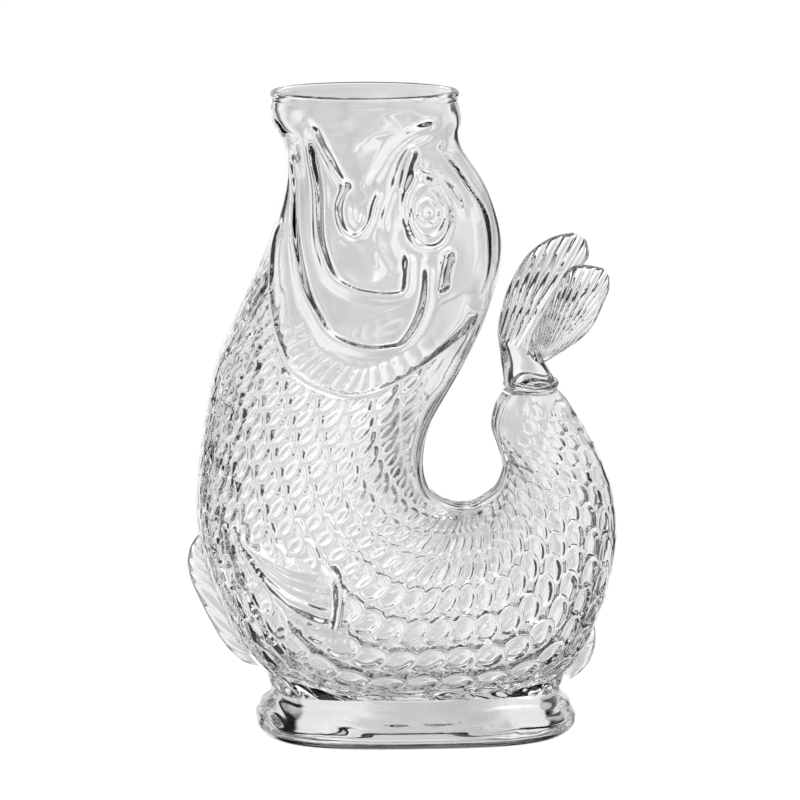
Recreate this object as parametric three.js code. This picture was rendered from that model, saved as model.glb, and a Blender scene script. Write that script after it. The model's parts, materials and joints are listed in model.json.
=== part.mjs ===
// Glass water carafe in the shape of a fish that stands on an oval foot with its mouth upwards.
// Millimetres, +Z up. The origin is the centre of the foot's flat underside. +X points from the
// belly to the tail, and the plane y = 0 is the fish's plane of symmetry.
import * as THREE from 'three';

// Driving dimensions of the blown body. Its height goes from the foot's waist to the mouth.
const BODY_HEIGHT = 248;
const BODY_LENGTH = 175;
const BODY_DEPTH = 96;
const WALL = 3.6;
const CLEARANCE = 0.35;
const CAVITY_END_FROM_TAIL = 6.5;

// Scales, pressed into the outside in rows round the body: how deep their roots lie, how far their
// tips and notches lie before and behind a row's middle, and how short the drop at their edge is
const SCALE_DEPTH = 1.6;
const SCALE_ROWS_PER_STATION = 2;
const SCALE_COLUMN_COUNT = 24;
const SCALE_TIP_SHARE = 0.3;
const SCALE_EDGE_SHARE = 0.12;
const SCALE_NOTCH_DEPTH_SHARE = 0.4;

// Driving dimensions of the foot, an oval block that narrows to a waist under the body
const FOOT_LENGTH = 134.5;
const FOOT_DEPTH = 86;
const FOOT_WAIST_HEIGHT = 18;
const FOOT_WAIST_LENGTH = 127;
const FOOT_WAIST_DEPTH = 58;
const FOOT_SADDLE_LENGTH = 120;
const FOOT_SADDLE_DEPTH = 53;
const FOOT_BULGE_HEIGHT = 6;
const FOOT_EDGE_RADIUS = 4.5;
const FOOT_ROUNDNESS_SHARE = 0.8;

// Driving dimensions of the rim, the weld ring and the tail fin
const RIM_WIDTH = 4.6;
const RIM_HEIGHT = 3.65;
const COLLAR_HEIGHT = 3.2;
const COLLAR_OVERHANG = 0.9;
const TAIL_FIN_HEIGHT = 60.5;
const TAIL_FIN_WIDTH = 47.3;
const TAIL_FIN_THICKNESS = 19.2;
const TAIL_TWIST_DEGREES = 20;
const TAIL_RIB_COUNT = 5;
const TAIL_RIB_DEPTH = 1;
const TAIL_NOTCH_DEPTH = 9;

// Driving dimensions of the fins and of the raised face
const BELLY_FIN_HEIGHT = 9.5;
const BELLY_FIN_THICKNESS = 4.5;
const ANAL_FIN_HEIGHT = 8.5;
const ANAL_FIN_THICKNESS = 5;
const FIN_END_RISE = 1;
const FIN_EDGE_SHARE = 0.55;
const FIN_SHOULDER_SHARE = 0.85;
const PECTORAL_FIN_RISE = 4;
const GILL_COVER_RISE = 2.4;
const CHEEK_FOLD_RISE = 1.9;
const CHEEK_FOLD_WIDTH = 3.6;
const MOUTH_CORNER_RISE = 1.7;
const MOUTH_CORNER_WIDTH = 2.6;
const RIDGE_EDGE_RISE = 0.9;
const EYE_LENGTH_SHARE = 0.016;
const EYE_HEIGHT_SHARE = 0.8286;
const PUPIL_RADIUS = 5;
const PUPIL_RISE = 2.6;
const EYE_SOCKET_WIDTH = 1.7;
const EYE_SOCKET_EXTRA_HEIGHT = 4;
const EYE_RING_WIDTH = 2.8;
const EYE_RING_RISE = 2;

// Outline of the body from the mouth to the tail: the point on the belly side, the point on the
// back side, both as x and height above the foot's waist, and half the depth from flank to flank.
// It is stretched to the body's length, height and depth.
const BODY_OUTLINE = [
  { belly: [-59, 248], back: [17, 248], halfDepth: 36 },
  { belly: [-59.5, 240], back: [18.5, 240], halfDepth: 36.5 },
  { belly: [-54, 228], back: [18.5, 229], halfDepth: 35 },
  { belly: [-54.5, 211], back: [30, 210], halfDepth: 38 },
  { belly: [-62, 186], back: [36, 187], halfDepth: 42 },
  { belly: [-73, 162], back: [30, 161], halfDepth: 45 },
  { belly: [-83, 139], back: [20, 138], halfDepth: 47 },
  { belly: [-88, 114], back: [6.5, 114], halfDepth: 48 },
  { belly: [-91, 90], back: [3, 99], halfDepth: 48 },
  { belly: [-91, 68], back: [4.5, 88], halfDepth: 48 },
  { belly: [-84, 44], back: [9, 82], halfDepth: 47 },
  { belly: [-70, 18], back: [14, 79.5], halfDepth: 46 },
  { belly: [-36, -3.5], back: [18, 78.5], halfDepth: 44.5 },
  { belly: [0, -8.5], back: [20.5, 78.5], halfDepth: 43 },
  { belly: [36, -4], back: [24, 79], halfDepth: 41 },
  { belly: [64, 11], back: [28.5, 81.5], halfDepth: 39 },
  { belly: [78, 33], back: [33, 85], halfDepth: 36 },
  { belly: [84, 58], back: [35.5, 90], halfDepth: 31 },
  { belly: [83, 80], back: [36.3, 95], halfDepth: 26 },
  { belly: [77.5, 97], back: [34, 103], halfDepth: 22.5 },
  { belly: [71, 110], back: [31.5, 111.5], halfDepth: 19.5 },
  { belly: [64, 121], back: [33.5, 121.5], halfDepth: 15 },
  { belly: [59, 127], back: [36.5, 127], halfDepth: 11 },
];
const FIN_TO_FOOT = 3;

// Places along the body, as shares of the way from the mouth to the tail: the upper ends of the
// fins, the stretches that carry the flank pieces and the foot, and the scales' rows
const BELLY_FIN_TOP_SHARE = 0.4136;
const ANAL_FIN_TOP_SHARE = 0.7205;
const FLANK_FIRST_SHARE = 0.023;
const FLANK_LAST_SHARE = 0.591;
const SADDLE_FIRST_SHARE = 0.409;
const SADDLE_LAST_SHARE = 0.818;
const SCALES_FIRST_ROW_SHARE = 0.14;
const SCALES_START_BACK_SHARE = 0.235;
const SCALES_START_BELLY_SHARE = 0.155;
const SCALES_START_FLANK_DROP_SHARE = 0.085;
const SCALES_END_SHARE = 0.95;
const SCALES_FADE_SHARE = 0.03;

// Outline of the tail fin above its round stem, as x offset from the stem's axis and height above
// the weld ring: the back edge, the front edge and half the thickness. It is stretched to the tail
// fin's width, height and thickness.
const TAIL_OUTLINE = [
  { back: [-12.6, 8], front: [11.4, 7], halfThickness: 9.6 },
  { back: [-13.3, 16], front: [15.5, 12], halfThickness: 8 },
  { back: [-12.1, 25], front: [22.5, 16.5], halfThickness: 7 },
  { back: [-9.6, 33], front: [28.5, 22.5], halfThickness: 6 },
  { back: [-5, 43], front: [32.5, 30], halfThickness: 5 },
  { back: [1.5, 52.5], front: [34, 38], halfThickness: 4.2 },
  { back: [10, 58.5], front: [33.2, 43], halfThickness: 3.4 },
  { back: [18.5, 60.5], front: [31, 46], halfThickness: 2.4 },
];

// Lines on the flank, as x and height above the foot's waist. The pectoral fin and the gill cover
// each lie between two lines, and the folds follow one. They are stretched together with the body.
const PECTORAL_FIN_TOP = [[-75, 76.5], [-65, 68.5], [-53.5, 64.3], [-42.3, 63], [-34, 60.5]];
const PECTORAL_FIN_BOTTOM = [[-74.5, 70], [-68.5, 60], [-59.5, 48.5], [-47.5, 40], [-33, 36]];
const GILL_COVER_EDGE = [
  [-49, 212], [-54, 195], [-58.5, 178], [-57.5, 158], [-49, 138.5], [-31.5, 132], [-14, 135.5],
  [2, 145.5], [14, 153.5], [23.5, 161.5],
];
const GILL_COVER_ROOT = [
  [-45, 212], [-47.5, 194], [-46.5, 178], [-42, 165], [-34, 156.5], [-22, 152.5], [-10, 154],
  [1, 160], [10, 167], [18, 172],
];
const CHEEK_FOLD = [[-43, 234], [-40.7, 199], [-35, 179], [-20, 173.5], [-8, 174], [-6.5, 187]];
const MOUTH_CORNER = [
  [-29.5, 217], [-33, 206.8], [-31, 199], [-26, 195.5], [-21, 200], [-18.5, 208.5], [-17, 215],
];

// Mesh resolution
const TAIL_RINGS_PER_STATION = 2;
const POINTS_AROUND = 2 * SCALE_COLUMN_COUNT;
const HEAD_STEPS = 5;
const CAVITY_STEPS = 27;
const FOOT_POINTS_AROUND = 36;
const COLLAR_POINTS_AROUND = 20;
const TAIL_POINTS_AROUND = 40;
const FIN_STEPS = 12;
const EYE_STEPS = 20;
const SEARCH_STEPS = 40;

const clearGlass = new THREE.MeshStandardMaterial({ color: 0xe9f0ee, roughness: 0.04, metalness: 0 });
const solidGlass = new THREE.MeshStandardMaterial({ color: 0xd9e4e0, roughness: 0.05, metalness: 0 });

const steps = (first, last, count) => (
  Array.from({ length: count + 1 }, (_, i) => first + ((last - first) * i) / count));
const mix = THREE.MathUtils.lerp;

// Triangles between rings of equal length that go anticlockwise seen from the last ring.
function wallTriangles(ringCount, around, looped) {
  const triangles = [];
  for (let ring = 0; ring < ringCount - (looped ? 0 : 1); ring += 1) {
    const next = (ring + 1) % ringCount;
    for (let i = 0; i < around; i += 1) {
      const j = (i + 1) % around;
      const [a, b, c, d] = [ring * around + i, ring * around + j, next * around + i, next * around + j];
      triangles.push(a, b, d, a, d, c);
    }
  }
  return triangles;
}

function meshOf(points, triangles) {
  const geometry = new THREE.BufferGeometry();
  const positions = points.flatMap((point) => point.toArray());
  geometry.setAttribute('position', new THREE.Float32BufferAttribute(positions, 3));
  geometry.setIndex(triangles);
  return geometry;
}

// Closed body through rings, with a point in the middle of each end.
function roundLoft(rings) {
  const around = rings[0].length;
  const points = rings.flat();
  const triangles = wallTriangles(rings.length, around, false);
  for (const [ring, turned] of [[0, true], [rings.length - 1, false]]) {
    const middle = new THREE.Vector3();
    rings[ring].forEach((point) => middle.addScaledVector(point, 1 / around));
    for (let i = 0; i < around; i += 1) {
      const a = ring * around + i;
      const b = ring * around + ((i + 1) % around);
      triangles.push(...(turned ? [b, a, points.length] : [a, b, points.length]));
    }
    points.push(middle);
  }
  return meshOf(points, triangles);
}

// Closed body through flat rings whose two long sides face each other, with ends of quads.
function stripLoft(rings) {
  const around = rings[0].length;
  const triangles = wallTriangles(rings.length, around, false);
  for (const [ring, turned] of [[0, true], [rings.length - 1, false]]) {
    for (let i = 0; i + 1 < around / 2; i += 1) {
      const [a, b, c, d] = [i, i + 1, around - 2 - i, around - 1 - i].map((k) => ring * around + k);
      triangles.push(...(turned ? [a, c, b, a, d, c] : [a, b, c, a, c, d]));
    }
  }
  return meshOf(rings.flat(), triangles);
}

// Closed body like a bent torus.
function loopLoft(rings) {
  return meshOf(rings.flat(), wallTriangles(rings.length, rings[0].length, true));
}

// Curves of the body's outline. Their parameter is the station number, so 2.5 lies halfway
// between the third and the fourth station. The y of a belly point carries the half depth.
const spanOf = (values) => Math.max(...values) - Math.min(...values);
const bodyStretch = {
  x: BODY_LENGTH / spanOf(BODY_OUTLINE.flatMap(({ belly, back }) => [belly[0], back[0]])),
  y: BODY_DEPTH / (2 * Math.max(...BODY_OUTLINE.map(({ halfDepth }) => halfDepth))),
  z: BODY_HEIGHT / BODY_OUTLINE[0].belly[1],
};
const bodyPoint = ([x, height], halfDepth) => new THREE.Vector3(
  x * bodyStretch.x, halfDepth * bodyStretch.y, height * bodyStretch.z + FOOT_WAIST_HEIGHT);
const bellyCurve = new THREE.CatmullRomCurve3(BODY_OUTLINE.map(({ belly, halfDepth }) => (
  bodyPoint(belly, halfDepth))));
const backCurve = new THREE.CatmullRomCurve3(BODY_OUTLINE.map(({ back }) => bodyPoint(back, 0)));
const lastStation = BODY_OUTLINE.length - 1;
const stationAt = (share) => share * lastStation;
const [flankFirst, flankLast] = [FLANK_FIRST_SHARE, FLANK_LAST_SHARE].map(stationAt);
const [saddleFirst, saddleLast] = [SADDLE_FIRST_SHARE, SADDLE_LAST_SHARE].map(stationAt);

function sectionAt(station) {
  const belly = bellyCurve.getPoint(station / lastStation);
  const back = backCurve.getPoint(station / lastStation);
  const halfDepth = belly.y;
  belly.y = 0;
  const centre = belly.clone().add(back).multiplyScalar(0.5);
  const halfWidth = belly.distanceTo(back) / 2;
  const toBack = back.clone().sub(belly).normalize();
  return { belly, back, centre, toBack, halfWidth, halfDepth };
}

// Point of the body's oval cross-section, grown outwards or, with a negative growth, drawn inwards.
function bodySkin(station, angle, growth, share = 1) {
  const { centre, toBack, halfWidth, halfDepth } = sectionAt(station);
  const point = centre.clone().addScaledVector(toBack, (halfWidth + growth) * share * Math.cos(angle));
  return point.setY((halfDepth + growth) * share * Math.sin(angle));
}

const bodyAngles = steps(0, 2 * Math.PI, POINTS_AROUND).slice(0, -1);
const bodyRing = (station, growth, share) => (
  bodyAngles.map((angle) => bodySkin(station, angle, growth, share)));

// Depth of the scales at a place of the body. They begin under the gill cover, which hangs lowest on
// the flank, and fade out on the back and before the tail's end.
function scaleDepth(station, angle) {
  const { smoothstep } = THREE.MathUtils;
  const fromBack = (1 - Math.cos(angle)) / 2;
  const startShare = mix(SCALES_START_BACK_SHARE, SCALES_START_BELLY_SHARE, fromBack)
    + SCALES_START_FLANK_DROP_SHARE * Math.abs(Math.sin(angle));
  const bodyShare = station / lastStation;
  const begun = smoothstep(bodyShare, startShare, startShare + SCALES_FADE_SHARE);
  const ended = smoothstep(bodyShare, SCALES_END_SHARE - SCALES_FADE_SHARE, SCALES_END_SHARE);
  return SCALE_DEPTH * begun * (1 - ended) * smoothstep(fromBack, 0, 0.2);
}

// Two rings of a row of scales: their raised edge, with tips and notches in turn that change places
// from row to row, and the foot of the drop behind it.
function scaleRow(row) {
  const edgeStations = bodyAngles.map((_, i) => {
    const reach = (i + row) % 2 === 0 ? SCALE_TIP_SHARE : -SCALE_TIP_SHARE;
    return stationAt(SCALES_FIRST_ROW_SHARE) + (row + reach) / SCALE_ROWS_PER_STATION;
  });
  const edge = bodyAngles.map((angle, i) => {
    const sunk = (i + row) % 2 === 0 ? 0 : SCALE_NOTCH_DEPTH_SHARE;
    return bodySkin(edgeStations[i], angle, -sunk * scaleDepth(edgeStations[i], angle));
  });
  const drop = bodyAngles.map((angle, i) => {
    const station = edgeStations[i] + SCALE_EDGE_SHARE / SCALE_ROWS_PER_STATION;
    return bodySkin(station, angle, -scaleDepth(station, angle));
  });
  return [edge, drop];
}

// Value between two limits where a rising function crosses zero.
function crossing(low, high, rising) {
  let [below, above] = [low, high];
  for (let i = 0; i < SEARCH_STEPS; i += 1) {
    const middle = (below + above) / 2;
    if (rising(middle) > 0) {
      above = middle;
    } else {
      below = middle;
    }
  }
  return (below + above) / 2;
}

// Rows of scales follow the plain head. The cavity follows the outside one wall further in, and its
// far end closes in a dome.
function bodyShell() {
  const firstRow = stationAt(SCALES_FIRST_ROW_SHARE);
  const rowCount = Math.floor((stationAt(SCALES_END_SHARE) - firstRow) * SCALE_ROWS_PER_STATION);
  const headEnd = firstRow - 1 / SCALE_ROWS_PER_STATION;
  const outside = steps(0, headEnd, HEAD_STEPS).map((station) => bodyRing(station, 0));
  for (let row = 0; row < rowCount; row += 1) {
    outside.push(...scaleRow(row));
  }
  outside.push(bodyRing(stationAt(SCALES_END_SHARE), 0), bodyRing(lastStation, 0));
  const cavityTop = bellyCurve.getPoint(1).z - CAVITY_END_FROM_TAIL;
  const overCavity = (station) => sectionAt(station).belly.z - cavityTop;
  const cavityEnd = crossing(lastStation - 3, lastStation, overCavity);
  const domeStart = cavityEnd - 1;
  const inside = steps(0, domeStart, CAVITY_STEPS).map((station) => bodyRing(station, -WALL));
  for (const turn of [0.3, 0.55, 0.78, 0.93]) {
    const angle = turn * Math.PI / 2;
    inside.push(bodyRing(domeStart + Math.sin(angle), -WALL, Math.cos(angle)));
  }
  return roundLoft([...outside.reverse(), ...inside]);
}

// Height of the body's underside over a point of the floor.
function undersideHeight(x, y) {
  const pointAt = (station) => {
    const { centre, toBack, halfWidth, halfDepth } = sectionAt(station);
    const towardsBelly = -Math.sqrt(Math.max(0, 1 - (y / halfDepth) ** 2));
    return centre.clone().addScaledVector(toBack, halfWidth * towardsBelly);
  };
  const station = crossing(saddleFirst, saddleLast, (value) => pointAt(value).x - x);
  return pointAt(station).z;
}

// Level ring, an ellipse where the roundness is 1 and closer to a rectangle where it is less.
function ovalRing(length, depth, height, roundness, around) {
  const spread = (value) => Math.sign(value) * Math.abs(value) ** roundness;
  return steps(0, 2 * Math.PI, around).slice(0, -1).map((angle) => new THREE.Vector3(
    (length / 2) * spread(Math.cos(angle)), (depth / 2) * spread(Math.sin(angle)), height));
}

// The foot flares from its waist to a rounded edge. Its top is a saddle that carries the belly.
function foot() {
  const level = (length, depth, height) => (
    ovalRing(length, depth, height, FOOT_ROUNDNESS_SHARE, FOOT_POINTS_AROUND));
  const rings = [];
  for (const turn of [0, 0.35, 0.7, 1]) {
    const angle = turn * Math.PI / 2;
    const inset = 2 * FOOT_EDGE_RADIUS * (1 - Math.sin(angle));
    const height = FOOT_BULGE_HEIGHT * (1 - Math.cos(angle));
    rings.push(level(FOOT_LENGTH - inset, FOOT_DEPTH - inset, height));
  }
  for (const share of [0.35, 0.7, 1]) {
    const ease = THREE.MathUtils.smoothstep(share, 0, 1);
    rings.push(level(
      mix(FOOT_LENGTH, FOOT_WAIST_LENGTH, ease),
      mix(FOOT_DEPTH, FOOT_WAIST_DEPTH, ease),
      mix(FOOT_BULGE_HEIGHT, FOOT_WAIST_HEIGHT, share)));
  }
  for (const share of [1, 0.84, 0.68, 0.5, 0.3, 0.12]) {
    const saddle = level(FOOT_SADDLE_LENGTH * share, FOOT_SADDLE_DEPTH * share, 0);
    rings.push(saddle.map((point) => point.setZ(undersideHeight(point.x, point.y) - CLEARANCE)));
  }
  return roundLoft(rings);
}

// Fire-polished bead on the mouth: a half-round section with a flat underside.
function rimBead() {
  const { centre, halfWidth, halfDepth } = sectionAt(0);
  const seat = centre.z + CLEARANCE;
  return loopLoft(steps(0, 180, 5).map((degrees) => {
    const angle = THREE.MathUtils.degToRad(degrees);
    const spread = RIM_WIDTH * Math.cos(angle) - WALL;
    const height = seat + RIM_HEIGHT * Math.sin(angle);
    const ring = ovalRing(2 * halfWidth + spread, 2 * halfDepth + spread, height, 1, FOOT_POINTS_AROUND);
    return ring.map((point) => point.setX(point.x + centre.x));
  }));
}

// The weld ring and the solid tail fin stand on the tail's closed end.
const tailEnd = sectionAt(lastStation);
const collarBottom = tailEnd.centre.z + CLEARANCE;
const tailFinBottom = collarBottom + COLLAR_HEIGHT + CLEARANCE;

function tailCollar() {
  const half = COLLAR_HEIGHT / 2;
  const faceRadius = tailEnd.halfWidth - COLLAR_OVERHANG;
  const profile = [new THREE.Vector2(0, -half), new THREE.Vector2(faceRadius, -half)];
  for (const degrees of [-50, -20, 20, 50]) {
    const angle = THREE.MathUtils.degToRad(degrees);
    const radius = tailEnd.halfWidth + COLLAR_OVERHANG * Math.cos(angle);
    profile.push(new THREE.Vector2(radius, half * Math.sin(angle)));
  }
  profile.push(new THREE.Vector2(faceRadius, half), new THREE.Vector2(0, half));
  return new THREE.LatheGeometry(profile, COLLAR_POINTS_AROUND).rotateX(Math.PI / 2);
}

// The tail fin is drawn out flat from a round stem. It twists as it widens, so that the front lobe
// comes forward. Ribs run up both faces, and a notch in the outer edge parts the two lobes.
function tailFin() {
  const { halfWidth, halfDepth } = tailEnd;
  const stretch = {
    x: TAIL_FIN_WIDTH / spanOf(TAIL_OUTLINE.flatMap(({ back, front }) => [back[0], front[0]])),
    y: TAIL_FIN_THICKNESS / (2 * Math.max(...TAIL_OUTLINE.map(({ halfThickness }) => halfThickness))),
    z: TAIL_FIN_HEIGHT / Math.max(...TAIL_OUTLINE.map(({ back }) => back[1])),
  };
  const edgePoint = ([x, height], halfThickness) => (
    new THREE.Vector3(x * stretch.x, halfThickness * stretch.y, height * stretch.z));
  const backEdge = new THREE.CatmullRomCurve3([
    new THREE.Vector3(-halfWidth, halfDepth, 0),
    ...TAIL_OUTLINE.map(({ back, halfThickness }) => edgePoint(back, halfThickness)),
  ]);
  const frontEdge = new THREE.CatmullRomCurve3([
    new THREE.Vector3(halfWidth, 0, 0),
    ...TAIL_OUTLINE.map(({ front }) => edgePoint(front, 0)),
  ]);
  return roundLoft(steps(0, 1, TAIL_OUTLINE.length * TAIL_RINGS_PER_STATION).map((share) => {
    const back = backEdge.getPoint(share);
    const front = frontEdge.getPoint(share);
    const halfThickness = back.y;
    const twist = THREE.MathUtils.degToRad(TAIL_TWIST_DEGREES) * share;
    const centre = back.setY(0).clone().add(front).multiplyScalar(0.5);
    const toFront = front.clone().sub(centre);
    const inwards = new THREE.Vector3(toFront.z, 0, -toFront.x).normalize();
    toFront.y = -toFront.length() * Math.tan(twist);
    const across = new THREE.Vector3(Math.sin(twist), Math.cos(twist), 0);
    const ribDepth = TAIL_RIB_DEPTH * THREE.MathUtils.smoothstep(share, 0.1, 0.4);
    const notch = TAIL_NOTCH_DEPTH * THREE.MathUtils.smoothstep(share, 0.55, 1);
    return steps(0, 2 * Math.PI, TAIL_POINTS_AROUND).slice(0, -1).map((angle) => {
      const along = Math.cos(angle);
      const groove = 0.5 - 0.5 * Math.cos(Math.PI * TAIL_RIB_COUNT * (1 + along));
      const thickness = (halfThickness - ribDepth * groove) * Math.sin(angle);
      const pull = notch * Math.exp(-((along / 0.22) ** 2));
      return centre.clone()
        .addScaledVector(toFront, along)
        .addScaledVector(across, thickness)
        .addScaledVector(inwards, pull);
    });
  }));
}

// Station where the belly line passes an x over the foot.
function bellyStationAt(x) {
  return crossing(saddleFirst, saddleLast, (station) => sectionAt(station).belly.x - x);
}

// Keel in the plane of symmetry along the belly line between two stations, highest in the middle
// and thinner at its free edge.
function keelFin(first, last, height, thickness) {
  return roundLoft(steps(0, 1, FIN_STEPS).map((share) => {
    const { belly, toBack } = sectionAt(mix(first, last, share));
    const rise = FIN_END_RISE + (height - FIN_END_RISE) * (1 - Math.abs(2 * share - 1) ** 3);
    const corner = (out, y) => belly.clone().addScaledVector(toBack, -out).setY(y);
    const [rootHalf, edgeHalf] = [thickness / 2, (thickness / 2) * FIN_EDGE_SHARE];
    const shoulder = mix(CLEARANCE, rise, FIN_SHOULDER_SHARE);
    return [
      corner(shoulder, -edgeHalf), corner(rise, 0), corner(shoulder, edgeHalf),
      corner(CLEARANCE, rootHalf), corner(CLEARANCE, -rootHalf),
    ];
  }));
}

// Point over the flank at a place of the side view, a growth away from the wall.
function overFlank({ x, y: height }, growth, side) {
  const place = new THREE.Vector3(x, 0, height);
  const station = crossing(flankFirst, flankLast, (value) => {
    const { belly, toBack } = sectionAt(value);
    const fromBelly = place.clone().sub(belly);
    return toBack.x * fromBelly.z - toBack.z * fromBelly.x;
  });
  const { centre, toBack, halfWidth, halfDepth } = sectionAt(station);
  const along = place.sub(centre).dot(toBack) / (halfWidth + growth);
  return new THREE.Vector3(x, side * (halfDepth + growth) * Math.sqrt(1 - along * along), height);
}

// Ring of a flank piece across its width: over the places with their rises, and back under them.
function flankRing(places, rises, side) {
  const top = places.map((place, i) => overFlank(place, rises[i], side));
  const under = places.map((place) => overFlank(place, CLEARANCE, side)).reverse();
  return side < 0 ? [...top, ...under] : [...top, ...under].reverse();
}

const flankLine = (points) => new THREE.SplineCurve(points.map((point) => {
  const { x, z } = bodyPoint(point, 0);
  return new THREE.Vector2(x, z);
}));

// Plate between two lines of the flank. It rises from its root to its free edge.
function flankPlate(rootLine, edgeLine, rowCount, columnCount, riseAt, side) {
  const [root, edge] = [flankLine(rootLine), flankLine(edgeLine)];
  return stripLoft(steps(0, 1, rowCount).map((along) => {
    const columns = steps(0, 1, columnCount);
    const [from, to] = [root.getPoint(along), edge.getPoint(along)];
    const places = columns.map((across) => from.clone().lerp(to, across));
    return flankRing(places, columns.map((across) => riseAt(along, across)), side);
  }));
}

// Ridge of even width along a line of the flank, with a higher crest.
function flankRidge(points, width, rise, rowCount, side) {
  const line = flankLine(points);
  return stripLoft(steps(0, 1, rowCount).map((along) => {
    const tangent = line.getTangent(along);
    const normal = new THREE.Vector2(-tangent.y, tangent.x);
    const places = [0.5, 0, -0.5].map((share) => line.getPoint(along).addScaledVector(normal, width * share));
    return flankRing(places, [RIDGE_EDGE_RISE, rise, RIDGE_EDGE_RISE], side);
  }));
}

const eyeAngles = steps(0, 2 * Math.PI, EYE_STEPS).slice(0, -1);

function eyePlace(radius, extraHeight, angle) {
  return new THREE.Vector2(
    EYE_LENGTH_SHARE * BODY_LENGTH + radius * Math.cos(angle),
    EYE_HEIGHT_SHARE * BODY_HEIGHT + FOOT_WAIST_HEIGHT + (radius + extraHeight) * Math.sin(angle));
}

function eyeRing(side) {
  const socket = PUPIL_RADIUS + EYE_SOCKET_WIDTH;
  return loopLoft(eyeAngles.map((angle) => {
    const places = steps(socket, socket + EYE_RING_WIDTH, 2).map((radius) => (
      eyePlace(radius, EYE_SOCKET_EXTRA_HEIGHT, angle)));
    return flankRing(places, [RIDGE_EDGE_RISE, EYE_RING_RISE, RIDGE_EDGE_RISE], side);
  }));
}

function eyePupil(side) {
  const levels = [
    [0.3, CLEARANCE], [1, CLEARANCE], [1, RIDGE_EDGE_RISE], [0.8, 0.75 * PUPIL_RISE], [0.4, PUPIL_RISE],
  ];
  const rings = levels.map(([share, growth]) => (
    eyeAngles.map((angle) => overFlank(eyePlace(PUPIL_RADIUS * share, 0, angle), growth, side))));
  return roundLoft(side < 0 ? rings : rings.reverse());
}

const carafe = new THREE.Group();

function addPiece(name, geometry, material) {
  const mesh = new THREE.Mesh(geometry, material);
  mesh.name = name;
  carafe.add(mesh);
  return mesh;
}

addPiece('body_shell', bodyShell(), clearGlass);
addPiece('rim_bead', rimBead(), clearGlass);
addPiece('foot', foot(), solidGlass);
const collar = addPiece('tail_collar', tailCollar(), solidGlass);
collar.position.set(tailEnd.centre.x, 0, collarBottom + COLLAR_HEIGHT / 2);
addPiece('tail_fin', tailFin(), solidGlass).position.set(tailEnd.centre.x, 0, tailFinBottom);

const finReach = FOOT_SADDLE_LENGTH / 2 + FIN_TO_FOOT;
const bellyFinTop = stationAt(BELLY_FIN_TOP_SHARE);
const bellyFinEnd = bellyStationAt(-finReach);
const analFinTop = stationAt(ANAL_FIN_TOP_SHARE);
const analFinEnd = bellyStationAt(finReach);
const bellyFin = keelFin(bellyFinTop, bellyFinEnd, BELLY_FIN_HEIGHT, BELLY_FIN_THICKNESS);
const analFin = keelFin(analFinEnd, analFinTop, ANAL_FIN_HEIGHT, ANAL_FIN_THICKNESS);
addPiece('belly_fin', bellyFin, solidGlass);
addPiece('anal_fin', analFin, solidGlass);

const pectoralRise = (along) => mix(RIDGE_EDGE_RISE, PECTORAL_FIN_RISE, along);
const gillRise = (along, across) => mix(RIDGE_EDGE_RISE, GILL_COVER_RISE, across);

for (const [side, suffix] of [[-1, 'left'], [1, 'right']]) {
  const flankPieces = {
    pectoral_fin: flankPlate(PECTORAL_FIN_TOP, PECTORAL_FIN_BOTTOM, 9, 6, pectoralRise, side),
    gill_cover: flankPlate(GILL_COVER_ROOT, GILL_COVER_EDGE, 22, 4, gillRise, side),
    cheek_fold: flankRidge(CHEEK_FOLD, CHEEK_FOLD_WIDTH, CHEEK_FOLD_RISE, 16, side),
    mouth_corner: flankRidge(MOUTH_CORNER, MOUTH_CORNER_WIDTH, MOUTH_CORNER_RISE, 14, side),
    eye_ring: eyeRing(side),
    eye_pupil: eyePupil(side),
  };
  for (const [name, geometry] of Object.entries(flankPieces)) {
    addPiece(`${name}_${suffix}`, geometry, clearGlass);
  }
}

export default carafe;
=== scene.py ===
# %% [markdown]
# # A glass fish that holds water
# The carafe is one piece of clear glass: a hollow fish that stands on a solid oval foot with its mouth open
# to the sky. We build it in the frame of the CAD parts: the shapes are worked out in millimetres and handed
# to Blender in metres. The first cell loads that frame and keeps its box.

# %% Load the frame
import json
import math

import bmesh
import bpy
import numpy as np
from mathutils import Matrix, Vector
from mathutils.bvhtree import BVHTree


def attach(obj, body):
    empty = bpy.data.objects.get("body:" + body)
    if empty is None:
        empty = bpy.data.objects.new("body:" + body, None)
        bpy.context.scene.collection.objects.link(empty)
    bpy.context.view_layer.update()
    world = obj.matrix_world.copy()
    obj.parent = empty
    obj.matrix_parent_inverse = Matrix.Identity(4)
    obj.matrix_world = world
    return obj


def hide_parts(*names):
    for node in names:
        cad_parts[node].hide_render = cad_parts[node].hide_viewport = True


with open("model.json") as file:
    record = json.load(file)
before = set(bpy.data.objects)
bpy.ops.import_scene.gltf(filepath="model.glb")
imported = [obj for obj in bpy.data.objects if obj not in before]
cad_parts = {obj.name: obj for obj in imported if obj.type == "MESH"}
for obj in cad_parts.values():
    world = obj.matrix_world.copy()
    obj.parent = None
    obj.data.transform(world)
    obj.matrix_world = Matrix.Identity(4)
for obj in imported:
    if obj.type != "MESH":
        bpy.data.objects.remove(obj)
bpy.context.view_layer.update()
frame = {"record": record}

# %% [markdown]
# ## The curved body
# On the real carafe the body is a bubble of glass that was blown into a mould. It could be sculpted,
# or skinned over a bent path, but its outline from the side is what is known best. So we describe it
# as a row of ovals that travels from the mouth down the belly, under the bend and up to the tail.
# Each oval has a point on the belly side, a point on the back side, both as x and height over the
# foot's waist in millimetres, and half its depth.

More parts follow.
